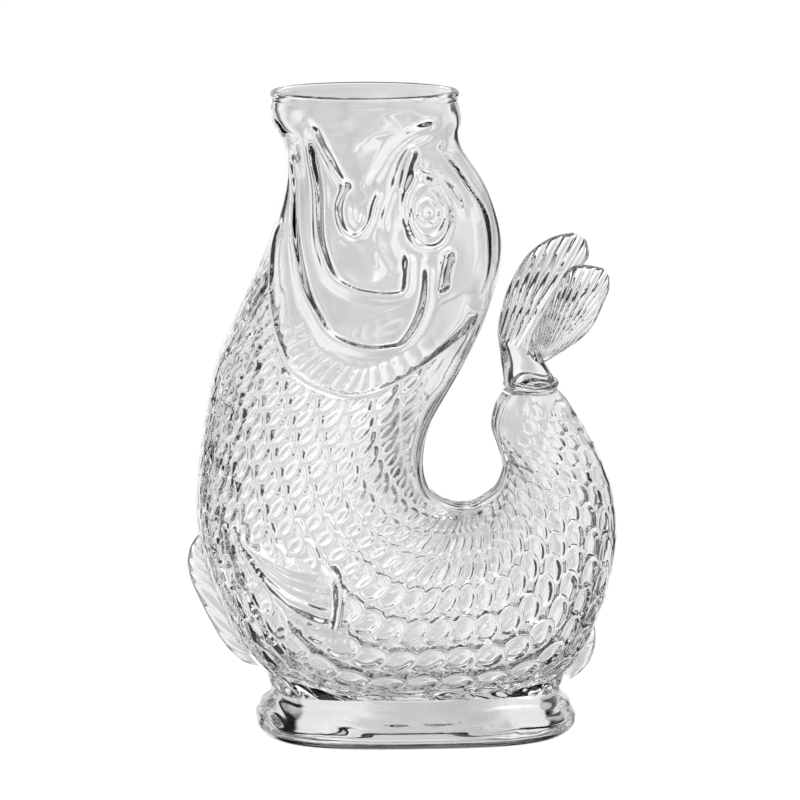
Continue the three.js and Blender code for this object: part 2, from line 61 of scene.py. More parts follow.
# %% Ovals from the mouth to the tail
WAIST = 18.0
BELLY = [
    (-59, 248), (-59.5, 240), (-54, 228), (-54.5, 211), (-62, 186), (-73, 162), (-83, 139), (-88, 114),
    (-91, 90), (-91, 68), (-84, 43), (-69, 13.5), (-39, -5.5), (0, -8.5), (39, -6), (64.5, 7.5),
    (78, 33), (84, 58), (83, 80), (77.5, 97), (71, 110), (64, 121), (59, 127),
]
BACK = [
    (17, 248), (18.5, 240), (18.5, 229), (30, 210), (36, 187), (30, 161), (20, 138), (6.5, 114),
    (3, 99), (4.5, 88), (9, 82), (14, 79.5), (18, 78.5), (20.5, 78.5), (24, 79), (28.5, 81.5),
    (33, 85), (35.5, 90), (36.3, 95), (34, 103), (31.5, 111.5), (33.5, 121.5), (36.5, 127),
]
HALF_DEPTH = [
    36, 36.5, 35, 38, 42, 45, 47, 48, 48, 48, 47, 46, 44.5, 43, 41, 39, 36, 31, 26, 22.5, 19.5, 15, 11,
]
LAST = len(BELLY) - 1
print("Ovals given from the mouth to the tail:", len(BELLY))

# %% [markdown]
# ## From a few ovals to many rings
# A smooth curve through each list gives an oval at any station: station 3.5 lies halfway between the
# fourth and the fifth oval. A subdivision surface would smooth the shape too, but it shrinks away
# from the given points, while this curve meets them. The rings are then spread evenly along the body,
# so that fine relief finds enough points everywhere.

# %% A smooth skin through the ovals


def smooth_curve(points, at):
    """Points of a smooth curve that meets the n-th given point at n."""
    p = np.asarray(points, float)
    if p.ndim == 1:
        p = p[:, None]
    q = np.vstack([2 * p[0] - p[1], p, 2 * p[-1] - p[-2]])
    at = np.clip(np.asarray(at, float), 0, len(p) - 1)
    i = np.minimum(at.astype(int), len(p) - 2)
    f = (at - i)[..., None]
    a, b, c, d = q[i], q[i + 1], q[i + 2], q[i + 3]
    bend = 2 * a - 5 * b + 4 * c - d
    twist = 3 * b - a - 3 * c + d
    return 0.5 * (2 * b + (c - a) * f + bend * f**2 + twist * f**3)


def ovals(stations, turns):
    """Points of the body's ovals: a turn of 0 is the back, 1 the belly, 0 to 1 the near flank."""
    belly, back = smooth_curve(BELLY, stations), smooth_curve(BACK, stations)
    centre, half = (belly + back) / 2, (back - belly) / 2
    depth = smooth_curve(HALF_DEPTH, stations)
    angle = np.pi * np.asarray(turns)[None, :]
    x = centre[:, :1] + half[:, :1] * np.cos(angle)
    z = centre[:, 1:] + half[:, 1:] * np.cos(angle) + WAIST
    return np.stack([x, -depth * np.sin(angle), z], -1)


def length_along(points):
    """Length travelled along a line of points."""
    return np.concatenate([[0], np.cumsum(np.linalg.norm(np.diff(points, axis=0), axis=1))])


fine = np.linspace(0, LAST, 4001)
belly_line, back_line = smooth_curve(BELLY, fine), smooth_curve(BACK, fine)
travelled = length_along((belly_line + back_line) / 2)
# The bend is long outside and short inside, so the spacing is a mix of the belly line and the middle
spread = 0.6 * length_along(belly_line) + 0.4 * travelled
RINGS, AROUND = ((820, 456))
stations = np.interp(np.linspace(0, spread[-1], RINGS), spread, fine)
half_turns = np.linspace(0, 1, AROUND // 2 + 1)
print("Body length along its middle: %.0f mm, %d rings of %d points" % (travelled[-1], RINGS, AROUND))

# %% [markdown]
# ## A flat map of the flank
# The mould pressed a face, scales and a fin into the flank. Such relief is easier to draw on a map
# than on a curved surface. The map has the distance along the body in one direction and the distance
# around it in the other, both in millimetres. Sculpting by hand would do as well, but on a map every
# line stays where it was measured, and the same script always gives the same fish.

# %% Map of the flank
flank = ovals(stations, half_turns)
along = np.interp(stations, fine, travelled)
flank_width = np.linalg.norm(flank[:, 0] - flank[:, -1], axis=1)
girth = flank_width / 4 + smooth_curve(HALF_DEPTH, stations)[:, 0] / 2
around_flank = (half_turns - 0.5)[None, :] * np.pi * girth[:, None]
flat = np.stack(np.broadcast_arrays(along[:, None], around_flank), -1)
print("Map size: %.0f by %.0f mm" % (np.ptp(flat[..., 0]), np.ptp(flat[..., 1])))

# %% [markdown]
# ## Lines on the map
# A line of the relief is given by a few points seen from the side. A search over the flank finds where
# they lie on the map, and for each place of the map we measure how far it is from the line, on which
# side of it, and how far along.

# %% Find and measure lines
EYE = (2.8, 205.3)


def on_map(points):
    """Map places of points seen from the side, as x and height over the waist."""
    places = []
    for x, height in points:
        gap = np.hypot(flank[..., 0] - x, flank[..., 2] - WAIST - height)
        places.append(flat[np.unravel_index(gap.argmin(), gap.shape)])
    return np.array(places)


def line(points, steps=60):
    """A smooth line on the map through points seen from the side."""
    places = on_map(points)
    return smooth_curve(places, np.linspace(0, len(places) - 1, steps))


def measure(path):
    """Distance to a line, side of it and length along it for each map place, and its whole length."""
    shape = flat.shape[:-1]
    p = flat.reshape(-1, 2)
    best = np.full(len(p), np.inf)
    side, run = np.zeros(len(p)), np.zeros(len(p))
    start = 0.0
    for a, b in zip(path[:-1], path[1:]):
        d = b - a
        length = np.hypot(*d) + 1e-9
        t = np.clip(((p - a) @ d) / length**2, 0, 1)
        off = p - a - t[:, None] * d
        gap = np.hypot(off[:, 0], off[:, 1])
        nearer = gap < best
        best = np.where(nearer, gap, best)
        cross = d[0] * (p[:, 1] - a[1]) - d[1] * (p[:, 0] - a[0])
        side = np.where(nearer, np.sign(cross), side)
        run = np.where(nearer, start + t * length, run)
        start += length
    return best.reshape(shape), side.reshape(shape), run.reshape(shape), start


print("From the mouth to the eye: %.0f mm along the map" % on_map([EYE])[0, 0])

# %% [markdown]
# ## Soft steps and ridges
# Pressed glass has no sharp corners, because it flows a little while it cools. So all relief is made
# from two soft shapes: a step that rises gently, and a hump like a bell. A ridge is a hump along a
# line that sinks away at both ends.

# %% Soft shapes


def smooth_step(low, high, value):
    """0 below low, 1 above high, and a soft rise between."""
    t = np.clip((value - low) / (high - low), 0, 1)
    return t * t * (3 - 2 * t)


def past(low, high):
    """For each ring of the body: 0 before station low, 1 past station high."""
    return smooth_step(low, high, stations)[:, None]


def hump(distance, width):
    """A soft bell: 1 at no distance, and almost nothing at twice the width."""
    return np.exp(-((distance / width) ** 2))


def ridge(points, height, width, fade=6.0, lean=0.0, start=None):
    """A rounded ridge along a line that sinks away at both ends; it can lean over to one side."""
    gap, side, run, total = measure(line(points))
    ends = smooth_step(0, start or fade, run) * smooth_step(0, fade, total - run)
    return height * hump(gap, width * (1 + lean * side)) * (0.25 + 0.75 * ends)


print("A hump keeps %.0f%% of its height at its width" % (100 * hump(1.0, 1.0)))

# %% [markdown]
# ## Cheek folds
# Two folds run round the cheek like the letter U, one inside the other. They lean over a little, so
# one flank of each is steeper and draws a darker line in the glass. The outer fold rises slowly from
# the brow.

# %% Cheek folds
FOLD_INNER = [
    (-44, 236), (-41, 216), (-40.5, 198), (-38.3, 187), (-35, 179), (-28, 175), (-20.8, 173.4),
    (-13, 173), (-7.3, 174.5), (-6.3, 181), (-6.5, 191),
]
FOLD_OUTER = [
    (-51.5, 222), (-50.5, 202.5), (-49.6, 189), (-46.6, 174.4), (-41.7, 163.6), (-37.2, 157),
    (-29.3, 152.7), (-21.3, 151.3), (-14.8, 151.7), (-9, 153), (-3.3, 159.4), (0.2, 166.8),
    (1.2, 174.5), (1.7, 186),
]
face = ridge(FOLD_INNER, height=2.8, width=2.2, lean=0.35)
face = face + ridge(FOLD_OUTER, height=3.2, width=2.4, lean=0.35, start=55.0)
print("Cheek folds: up to %.1f mm high" % face.max())

# %% [markdown]
# ## Gill cover
# The gill cover is a plate at the back of the head. It ends in a raised lip, and a row of pressed petals
# lies along the inside of that lip. The plate is a step at its edge that fades towards the cheek,
# the lip is a narrow hump on the step, and the petals are domes that repeat along the edge.

# %% Gill cover
GILL_EDGE = [
    (-55.5, 202), (-59, 190), (-60.5, 176), (-60, 161.4), (-55, 144.4), (-48.2, 137.7), (-41.5, 134.7),
    (-31.5, 132), (-21.2, 132.5), (-9, 138.3), (7.7, 149), (20.5, 157.7), (26, 163),
]
PLATE_HEIGHT, PLATE_FADE, EDGE_SOFT = 2.3, 13, 0.7
LIP_HEIGHT, LIP_AT, LIP_WIDTH = 0.9, 1.6, 1.3
PETAL_HEIGHT, PETAL_PITCH, PETAL_AT, PETAL_HALF = 1.1, 5.9, 8.3, 4.9

gill_gap, gill_side, gill_run, gill_length = measure(line(GILL_EDGE, 120))
gill_inside = gill_gap * -gill_side
gill_ends = smooth_step(0, 8, gill_run) * smooth_step(0, 10, gill_length - gill_run)
gill_ends = gill_ends * (0.4 + 0.6 * smooth_step(10, 60, gill_run))
gill_plate = PLATE_HEIGHT * smooth_step(-EDGE_SOFT, EDGE_SOFT, gill_inside)
gill_plate = gill_plate * np.exp(-np.clip(gill_inside, 0, None) / PLATE_FADE)
face = face + gill_ends * (gill_plate + LIP_HEIGHT * hump(gill_inside - LIP_AT, LIP_WIDTH))

petal_run = smooth_step(48, 66, gill_run) * smooth_step(22, 40, gill_length - gill_run)
petal_across = 2 * (gill_run / PETAL_PITCH % 1 - 0.5)
petal_up = (gill_inside - PETAL_AT) / PETAL_HALF
petals = np.sqrt(np.clip(1.05 - petal_across**2 - np.abs(petal_up) ** 3, 0, 1))
face = face + PETAL_HEIGHT * petal_run * petals
behind_gill = smooth_step(0.3, 1.6, -gill_inside) * past(3.1, 3.4)
print("Gill cover lip: %.0f mm long" % gill_length)

# %% [markdown]
# ## Mouth
# The lips meet in a V below the rim, and the corner of the mouth is a loop with a small mark inside.
# All four are ridges, and the heights simply add up where they meet, as hot glass would run together.

# %% Mouth
LOWER_LIP = [(-44.5, 241), (-40.5, 234.5), (-36.3, 226.5), (-33.3, 220.6), (-29, 213)]
UPPER_LIP = [(6.5, 240.5), (0, 238.8), (-6, 236), (-12, 230), (-17, 222), (-21.5, 216)]
MOUTH_CORNER = [
    (-28.4, 217.8), (-31.4, 212.8), (-33, 206.8), (-31.7, 199.9), (-27.8, 195.9), (-23.8, 196.9),
    (-20.3, 202.4), (-18.4, 208.9), (-16.6, 214.6),
]
CORNER_MARK = [(-27.5, 208), (-26.8, 202.5), (-24.5, 201.5), (-23, 205.5)]
face += ridge(LOWER_LIP, height=2.5, width=2.5)
face += ridge(UPPER_LIP, height=2.2, width=2.0)
face += ridge(MOUTH_CORNER, height=2.5, width=1.35, fade=3)
face += ridge(CORNER_MARK, height=1.4, width=1.2, fade=2)
print("Face with the mouth: up to %.1f mm high" % face.max())

# %% [markdown]
# ## Eye
# The eye is a nest of tall ovals round a small button. A perfect ring would look turned on a lathe, so
# the height of each ring wanders a little as it goes round.

# %% Eye
IRIS = (2.8, 205.6)


def oval_rings(centre, half_width, half_height, rings):
    """Ridges on nested ovals round a centre: (size, height, width) of each."""
    place = on_map([centre])[0]
    d = flat - place
    size = np.hypot(d[..., 1] / half_width, d[..., 0] / half_height)
    mean_half = math.sqrt(half_width * half_height)
    angle = np.arctan2(d[..., 1] / half_width, d[..., 0] / half_height)
    wander = 0.85 + 0.2 * np.sin(2 * angle + 1) + 0.2 * np.sin(5 * angle + 9 * size)
    return sum(h * wander * hump((size - r) * mean_half, w) for r, h, w in rings), size


eye, eye_size = oval_rings(EYE, 9.6, 14.5, [(1.0, 2.6, 1.35), (0.72, 1.7, 1.0)])
iris, _ = oval_rings(IRIS, 5.0, 5.4, [(0.9, 1.6, 0.95), (0.0, 1.6, 1.7)])
face = face * smooth_step(0.95, 1.25, eye_size) + eye + iris
print("Eye: rings up to %.1f mm high" % eye.max())

# %% [markdown]
# ## Brow and crest
# A brow runs round the front of the eye, a short lid lies behind it, and the crest is a step along the
# back of the head. Brow and lid are ridges, the crest is a step like the gill cover's edge, and a few
# small knobs over the eye break up the light.

# %% Brow and crest
BROW = [(6, 236), (-3.5, 231.5), (-8.8, 223.8), (-12.6, 211.7), (-14.8, 203.6), (-14, 196)]
LID = [(5, 219.5), (10, 217.5), (14.5, 212.5), (17.8, 205)]
CREST = [
    (9.5, 228), (15, 220.5), (20, 212.7), (24.2, 206.6), (27, 200), (28.2, 189.4), (27, 175), (22, 163),
]
KNOBS = [
    (0, 224.8), (2.6, 224.2), (-0.6, 221.6), (3.0, 220.8), (-0.4, 218.2), (2.6, 217.6), (8.6, 230.5),
    (9.4, 231.5),
]
CREST_HEIGHT, CREST_FADE = 2.1, 4
KNOB = [(0.0, 0.9, 1.15)]

face += ridge(BROW, height=1.7, width=1.5)
face += ridge(LID, height=1.2, width=1.7)
crest_gap, crest_side, crest_run, crest_length = measure(line(CREST))
crest_out = crest_gap * crest_side
crest_ends = smooth_step(0, 6, crest_run) * smooth_step(0, 45, crest_length - crest_run)
crest = CREST_HEIGHT * crest_ends * smooth_step(-EDGE_SOFT, EDGE_SOFT, -crest_out)
face += crest * np.exp(-np.clip(-crest_out, 0, None) / CREST_FADE)
for knob in KNOBS:
    bump, _ = oval_rings(knob, 1, 1, KNOB)
    face += bump
print("Crest: %.0f mm long, with %d knobs in front of it" % (crest_length, len(KNOBS)))

# %% [markdown]
# ## Dimples
# Dimples beside the eye and the mouth are the places where the mould pressed deepest. Glass that is
# pushed away there rises beside them as a faint border.

# %% Dimples


def dimple(points, depth, width):
    """A long dimple with a faint raised border."""
    gap, _, _, _ = measure(line(points, 20))
    border = 0.45 * depth * hump(gap - 2.1 * width, 0.6 * width)
    return -depth * hump(gap, width) + border


face += dimple([(-12, 202), (-13.8, 197), (-12.4, 190.5), (-10.1, 186)], depth=0.9, width=2.0)
face += dimple([(-28.7, 192.8), (-24.9, 187.9), (-20, 182.5)], depth=0.6, width=2.6)
face += dimple([(11.2, 187.4), (9.6, 181), (8.5, 175)], depth=2.0, width=1.3)
face += dimple([(-3.2, 229), (-5.6, 223), (-7.4, 215.5)], depth=1.7, width=1.25)
face += dimple([(13, 213.2), (16.3, 207)], depth=0.5, width=0.8)
print("Face relief from %.1f to %.1f mm" % (face.min(), face.max()))

# %% [markdown]
# ## A lattice for the scales
# The scales lie in rows along the body and columns around it. Both change from the belly to the tail:
# the plates are largest under the bend and smallest at the tail. Strewing copies along a path would
# need the same numbers. Short lists of stations and values give them, and a running mean takes the
# corners off.

# %% Lattice of the scales


def table(values, at):
    """Soft interpolation of a few (station, value) pairs."""
    keys, vals = zip(*values)
    straight = np.interp(fine, keys, vals)
    soft = np.convolve(np.pad(straight, 150, "edge"), np.ones(301) / 301, "valid")
    return np.interp(at, fine, soft)


pitch = table([(0, 7.1), (8, 7.1), (10, 8.6), (13, 9.8), (16, 9.0), (19, 6.4), (22, 5.6)], fine)
stagger = table([(0, 0.33), (8, 0.33), (11, 0.05), (15, 0.0), (18, 0.4), (22, 0.5)], fine)
row_steps = np.diff(travelled) / pitch[1:]
drift_steps = row_steps * stagger[1:]
rows = np.interp(stations, fine, np.concatenate([[0], np.cumsum(row_steps)]))[:, None]
drift = np.interp(stations, fine, np.concatenate([[0], np.cumsum(drift_steps)]))[:, None]
columns = table(
    [(0, 13), (8, 13), (10, 11.5), (12, 10.4), (15, 10.2), (17, 9.5), (19, 9), (22, 8)], stations)
column = columns[:, None] * (half_turns - 0.5)[None, :]
column_pitch = (np.pi * girth / columns)[:, None]
row_pitch = np.interp(stations, fine, pitch)[:, None]
stagger = np.interp(stations, fine, stagger)[:, None]
print("Rows of scales from the mouth to the tail: %.0f" % rows[-1, 0])

# %% [markdown]
# ## Scales
# Every scale is a rounded plate with a thick rim that rises towards its free edge. That edge points to
# the back of the fish and turns towards the tail behind the bend. Copies of one modelled scale would
# meet in sharp cracks. Here the plate is a formula: at each place the highest plate of the
# neighbourhood wins, so the plates overlap like roof tiles by themselves.

# %% Scales


def by_station(values):
    """A soft table as a column with one value per ring."""
    return table(values, stations)[:, None]


facing = np.radians(by_station([(0, 84), (9, 84), (12, 76), (14, 60), (16, 25), (18, -10), (22, -20)]))
reach = by_station([(0, 5.9), (8, 5.9), (11, 7.2), (14, 7.4), (16, 6.4), (18, 5.2), (22, 4.4)])
breadth = by_station([(0, 8.6), (8, 8.6), (11, 6.4), (14, 5.8), (16, 6.0), (18, 5.4), (22, 4.6)])
tall = by_station([(0, 1.45), (8, 1.5), (11, 1.4), (13, 1.5), (16, 1.4), (18, 1.1), (22, 0.7)])
ROUNDNESS, RIM_IN, RIM_WIDTH, RIM_HEIGHT = 2.2, 1.1, 1.2, 0.8
RISE, DROP, DROP_WIDTH, DEEPEST = 0.6, 4.0, 1.3, -2.8
# On the underside of the bend the plates are taller and fall off more steeply
low_side = smooth_step(0.62, 0.85, half_turns)[None, :] * past(11.0, 12.3)
low_side = low_side * (1 - past(15.5, 17.5))


def plate(row_gap, column_gap):
    """Height of one scale at places given by their gaps to the scale's middle, in rows and columns."""
    on = row_gap * row_pitch
    up = -(column_gap - stagger * row_gap) * column_pitch
    ahead = on * np.cos(facing) + up * np.sin(facing)
    aside = up * np.cos(facing) - on * np.sin(facing)
    size = np.abs(ahead / reach) ** ROUNDNESS + np.abs(aside / breadth) ** ROUNDNESS
    size = size ** (1 / ROUNDNESS)
    from_rim = (1 - size) * np.minimum(reach, breadth)
    rim = RIM_HEIGHT * hump(from_rim - RIM_IN, RIM_WIDTH)
    fall = np.clip(-from_rim / (DROP_WIDTH - 0.2 * low_side), 0, 1.2)
    return RISE * ahead / reach + rim - DROP * fall


row_near, column_near = np.round(rows), np.round(column + drift)
scales = np.full(flank.shape[:2], -9.0)
for i in (-2, -1, 0, 1, 2):
    for j in (-1, 0, 1):
        scales = np.maximum(scales, plate(rows - row_near - i, column + drift - column_near - j))
scales = np.maximum(tall * (1 + 0.3 * low_side) * (scales - RISE - RIM_HEIGHT), DEEPEST)
print("Scales from %.1f to %.1f mm" % (scales.min(), scales.max()))

# %% [markdown]
# ## Where the scales end
# The back line, the head, the end of the tail and the keel are bare on this fish. Masks from 0 to 1 fade
# the scales out there, because a sudden end would look like a cut.

# %% Bare places
bare = by_station([(0, 0.34), (6, 0.34), (7.5, 0.26), (8.5, 0.2), (10, 0.14), (17, 0.12), (22, 0.2)])
below_back = smooth_step(0.15, 0.42, half_turns)[None, :]
scaly = smooth_step(0.7 * bare, 1.15 * bare, half_turns[None, :]) * (0.55 + 0.45 * below_back)
scaly *= 1 - past(20.4, 21.6)
smooth_patch = past(18.6, 20.0) * (1 - smooth_step(0.3, 0.5, half_turns))[None, :]
scale_start = past(4.1, 4.8)
scales = scales * scaly * (1 - smooth_patch) * behind_gill * scale_start

around = np.pi * girth[:, None] * half_turns[None, :]
from_belly = np.pi * girth[:, None] - around
KEEL_STATIONS = [0, 11.2, 12.5, 13.5, 14.8, 16.5, 23]
KEEL_WIDTHS = [31, 31, 13, 12, 26, 28, 20]
keel = np.interp(stations, KEEL_STATIONS, KEEL_WIDTHS)[:, None]
scales *= 0.1 + 0.9 * smooth_step(0.5, 1.0, from_belly / keel)
print("Scales over 0.2 mm deep cover %.0f%% of the flank" % (100 * np.mean(scales < -0.2)))

# %% [markdown]
# ## Long grooves
# Long grooves run along the underside and along the line of the back, where the halves of the mould
# meet and the glass was drawn lengthwise. Beside the belly line two rows of dashes swing to and fro.

# %% Grooves


def waves(distance, pitch):
    """Soft waves from 0 to 1, one per pitch."""
    return 0.5 + 0.5 * np.cos(2 * np.pi * distance / pitch)


grooves = waves(from_belly, 6.5) * (1 - smooth_step(7.0, 13.0, from_belly))
grooves = 0.6 * grooves * past(11.5, 12.8) * (1 - past(13.0, 14.2))
grooves += 0.5 * waves(around, 3.6) * (1 - smooth_step(5.0, 13.0, around)) * past(8.5, 10.0)
back_lines = hump(around - 7.5, 1.2) + 0.7 * hump(around - 16.5, 1.3)
grooves += 1.4 * back_lines * past(4.6, 5.6) * (1 - past(8.2, 10.0))
for place, depth in ((19.0, 1.7), (29.0, 1.2)):
    swing = place + 1.8 * np.sin(2 * np.pi * rows / 3.4 + place)
    dashes = 0.4 + 0.6 * smooth_step(-0.9, -0.3, np.sin(2 * np.pi * rows / 1.7 + 0.3 * place))
    grooves += depth * hump(from_belly - swing, 1.1) * dashes * (1 - past(11.0, 12.5))
scales -= 0.8 * grooves * scale_start * behind_gill * (1 - past(20.4, 21.6))
print("Scales and grooves from %.1f to %.1f mm" % (scales.min(), scales.max()))

# %% [markdown]
# ## The side fin
# The fin on the flank starts at a narrow root and fans out to a thick, proud edge. It could be a piece
# of its own, but on the glass it is only a raised patch, so it joins the relief: a mask between a top
# and a bottom line, ribbed with rays that run from the root to the edge, and a clear zone below it.

# %% Side fin
FIN_TOP = [(-76, 77.5), (-65, 68.6), (-53.6, 64.3), (-42.3, 63), (-35.9, 62), (-31, 60)]
FIN_BOTTOM = [
    (-76, 75.5), (-72.3, 66.8), (-67.7, 59.7), (-61.1, 50.5), (-54, 43.4), (-47.3, 39.9), (-41.6, 37),
    (-31, 35.5),
]
FIN_ROOT, FIN_LENGTH, FIN_END, FIN_RAYS = 76, 44, -32.2, 5.5
LIP_REACH = 4

x, height = flank[..., 0], flank[..., 2] - WAIST
top = np.interp(x, *np.array(FIN_TOP).T)
bottom = np.interp(x, *np.array(FIN_BOTTOM).T)
across = (top - height) / np.maximum(top - bottom, 0.5)
fan_out = np.clip((x + FIN_ROOT) / FIN_LENGTH, 0, 1)
to_end = FIN_END - 3.0 * (across - 0.5) ** 2 * 2 - x
near_fin = (stations[:, None] > 8) & (stations[:, None] < 12.5) & (x > -77)
mask = smooth_step(-1.5, 3.5, top - height) * smooth_step(-0.4, 0.7, height - bottom)
mask = np.where(near_fin, mask * smooth_step(-0.8, 1.4, to_end), 0)
rays = np.cos(2 * np.pi * FIN_RAYS * np.clip(across, 0, 1)) * smooth_step(0.1, 0.4, fan_out)
fin = 0.8 + fan_out + 1.5 * smooth_step(0.55, 1.0, across)
fin = fin + 0.28 * rays * (1 - smooth_step(0.8, 0.95, fan_out))
edge_bead = 1.3 * hump(to_end - 1.6, 1.3)
edge_groove = 0.9 * hump(to_end - 4.6, 1.6) * smooth_step(0.2, 0.5, across)
fin += edge_bead - edge_groove
below = np.clip(bottom - height, 0, None)
under_fin = near_fin & (x < -30) & (height < bottom + 1)
clear_zone = np.where(under_fin, np.exp(-((below / 6.5) ** 4)), 0)

relief = face * (1 - behind_gill) + scales * (1 - mask) * (1 - 0.9 * clear_zone) + fin * mask
relief = np.where(behind_gill > 0, relief + face * behind_gill * (gill_gap < LIP_REACH), relief)
print("Relief from %.1f to %.1f mm" % (relief.min(), relief.max()))

# %% [markdown]
# ## Pressing the outer skin
# The relief pushes the outer skin out along its own normal, as a displacement modifier would. Doing it
# on the points themselves lets the wall, the foot and the fins use the same skin later. The far side
# is pressed less deep than the near one: seen through the glass, a second full pattern would blur
# the first.

# %% Outer skin
FAR_FACE, FAR_SCALES = 0.15, 0.3


def both_sides(half):
    """A field on the near flank, mirrored to the far flank, where it was pressed less deep."""
    whole = np.concatenate([half, half[:, -2:0:-1]], axis=1)
    spot = np.linspace(0, 2, whole.shape[1], endpoint=False)
    far = smooth_step(-0.12, 0.12, np.minimum(spot - 1, 2 - spot))
    share = FAR_FACE + (FAR_SCALES - FAR_FACE) * smooth_step(4.8, 6.5, stations)
    return whole * (1 - (1 - share)[:, None] * far[None, :])


turns = np.linspace(0, 2, AROUND, endpoint=False)
base = ovals(stations, turns)
step_on = np.gradient(base, axis=0)
step_round = (np.roll(base, -1, 1) - np.roll(base, 1, 1)) / 2
normal = np.cross(step_round, step_on)
normal /= np.linalg.norm(normal, axis=2, keepdims=True)
middle_ring = base[RINGS // 2]
if np.mean(normal[RINGS // 2] * (middle_ring - middle_ring.mean(0))) < 0:
    normal = -normal
raised = both_sides(relief) * past(0.15, 0.9)
outer = base + normal * raised[..., None]
outwards = np.sum(normal * (base - base.mean(1, keepdims=True)), 2) > 0
print("Normals point outwards at %.0f%% of the points" % (100 * np.mean(outwards)))

# %% [markdown]
# ## Blowing the inner skin
# The inner skin never touches the mould. It follows the relief only softly and has slow waves of its
# own, which bend the light that passes. A solidify modifier would copy every scale to the inside, so
# the inner skin is worked out on its own, and it stays at least a millimetre under the deepest groove.

# %% Inner skin
WALL, THINNEST = 2.9, 1.0
INNER_STEP, CAVITY_END = 6, 21.75


def next_rings(field):
    """A field on the body moved by one ring each way; the first and last ring repeat."""
    return np.vstack([field[:1], field[:-1]]), np.vstack([field[1:], field[-1:]])


def soften(field, passes):
    """A blurred copy of a field on the body, open along it and closed around it."""
    for _ in range(passes):
        field = (np.roll(field, 1, 1) + 2 * field + np.roll(field, -1, 1)) / 4
        before, behind = next_rings(field)
        field = (before + 2 * field + behind) / 4
    return field


def lowest_near(field, steps):
    """The lowest value of a field on the body within a few points of each place."""
    for _ in range(steps):
        field = np.minimum(field, np.minimum(np.roll(field, 1, 1), np.roll(field, -1, 1)))
        field = np.minimum(field, np.minimum(*next_rings(field)))
    return field


ring_at, mm_on, turn_at = stations[:, None], along[:, None], turns[None, :]
wave = 0.55 * np.sin(3 * np.pi * turn_at + 0.9 * ring_at) * np.sin(0.8 * ring_at)
sway = 3 * np.sin(2 * np.pi * turn_at)
wave = wave + 0.45 * np.sin(2 * np.pi * mm_on / 27 + sway) * np.sin(np.pi * turn_at) ** 2
below_rim = past(0.1, 0.6) * (1 - past(1.4, 2.6))
neck_sway = 2.2 * np.sin(5 * np.pi * turn_at + 0.7)
neck_wave = below_rim * np.sin(2 * np.pi * mm_on / 12 + neck_sway)
wave = wave + neck_wave * np.abs(np.sin(np.pi * turn_at)) ** 1.5
# A small hollow in the bottom, over the middle of the foot
at_bottom = np.abs(ring_at - 13) < 1.2
well = 1.6 * hump(base[..., 0], 15) * hump(turn_at - 1, 0.13) * at_bottom
sink = -WALL + 0.25 * soften(raised, 24) + wave + well
sink = soften(np.minimum(sink, soften(lowest_near(raised, 7), 10) - THINNEST), 4)
inner = base + normal * sink[..., None]
inner = inner[stations < CAVITY_END][::INNER_STEP]
print("Thinnest wall: %.2f mm" % (raised - sink).min())

# %% [markdown]
# ## Rim and ends
# The rim of the mouth is fire polished: the edge was melted until it drew itself into a round bead. A few
# steps outwards and upwards from the first oval draw that bead, and small domes close the hollow and
# the tail.

# %% Rolled lip and rounded ends
LIP = [
    (0.35, 0.9), (0.75, 1.9), (0.7, 2.8), (0.1, 3.45), (-0.8, 3.75), (-1.7, 3.65), (-2.5, 3.2),
    (-3.1, 2.3), (-3.25, 1.2),
]
CAVITY_DOME, TAIL_DOME = 2.4, 2.2


def dome(ring, height):
    """Rings that close the last ring with a rounded end, and the point on top."""
    middle, up = ring.mean(0), np.array([0, 0, height])
    angles = np.linspace(0, math.pi / 2, 7)[1:-1]
    rings = [middle + (ring - middle) * math.cos(a) + up * math.sin(a) for a in angles]
    return rings, middle + up


sideways = normal[0] * np.array([1, 1, 0])
sideways /= np.linalg.norm(sideways, axis=1, keepdims=True)
lip_rings = [base[0] + sideways * out + np.array([0, 0, up]) for out, up in LIP]
dome_in, cavity_pole = dome(inner[-1], CAVITY_DOME)
dome_out, tail_pole = dome(outer[-1], TAIL_DOME)
body_rings = dome_out[::-1] + list(outer[::-1]) + lip_rings + list(inner) + dome_in
inner_from = len(dome_out) + RINGS + len(LIP) - 2
print("Rim: %.1f mm over the first oval" % max(up for _, up in LIP))

# %% [markdown]
# ## From rings to a mesh
# Outer skin, rolled lip and inner skin form one closed surface, like a sock that is turned in at the
# top. Adding faces one by one is slow in Python, so the points and faces are handed to the mesh as
# whole lists. Each face remembers which finish it gets: outer skin, inner skin or solid glass.

# %% Mesh helpers
OUTER, INNER, SOLID = 0, 1, 2
METRES = 0.001


def glass_mesh(name, points, quads, triangles, quad_slots, triangle_slots):
    """An object from points in millimetres and faces that all go round the same way."""
    corners = np.concatenate([np.concatenate([quads[:, [0, 1, 2]], quads[:, [0, 2, 3]]]), triangles])
    a, b, c = (points[corners[:, k]] for k in range(3))
    volume = np.sum(a * np.cross(b, c)) / 6
    if volume < 0:
        quads, triangles = quads[:, ::-1], triangles[:, ::-1]
    mesh = bpy.data.meshes.new(name)
    mesh.vertices.add(len(points))
    mesh.vertices.foreach_set("co", (points * METRES).ravel())
    mesh.loops.add(quads.size + triangles.size)
    mesh.loops.foreach_set("vertex_index", np.concatenate([quads.ravel(), triangles.ravel()]))
    mesh.polygons.add(len(quads) + len(triangles))
    starts = np.concatenate([np.arange(len(quads)) * 4, quads.size + np.arange(len(triangles)) * 3])
    mesh.polygons.foreach_set("loop_start", starts)
    slots = np.concatenate([quad_slots, triangle_slots]).astype(int)
    mesh.polygons.foreach_set("material_index", slots)
    mesh.update(calc_edges=True)
    mesh.validate()
    piece = bpy.data.objects.new(name, mesh)
    bpy.context.scene.collection.objects.link(piece)
    print("%s: %d faces, %.1f ml of glass" % (name, len(mesh.polygons), abs(volume) / 1000))
    return piece


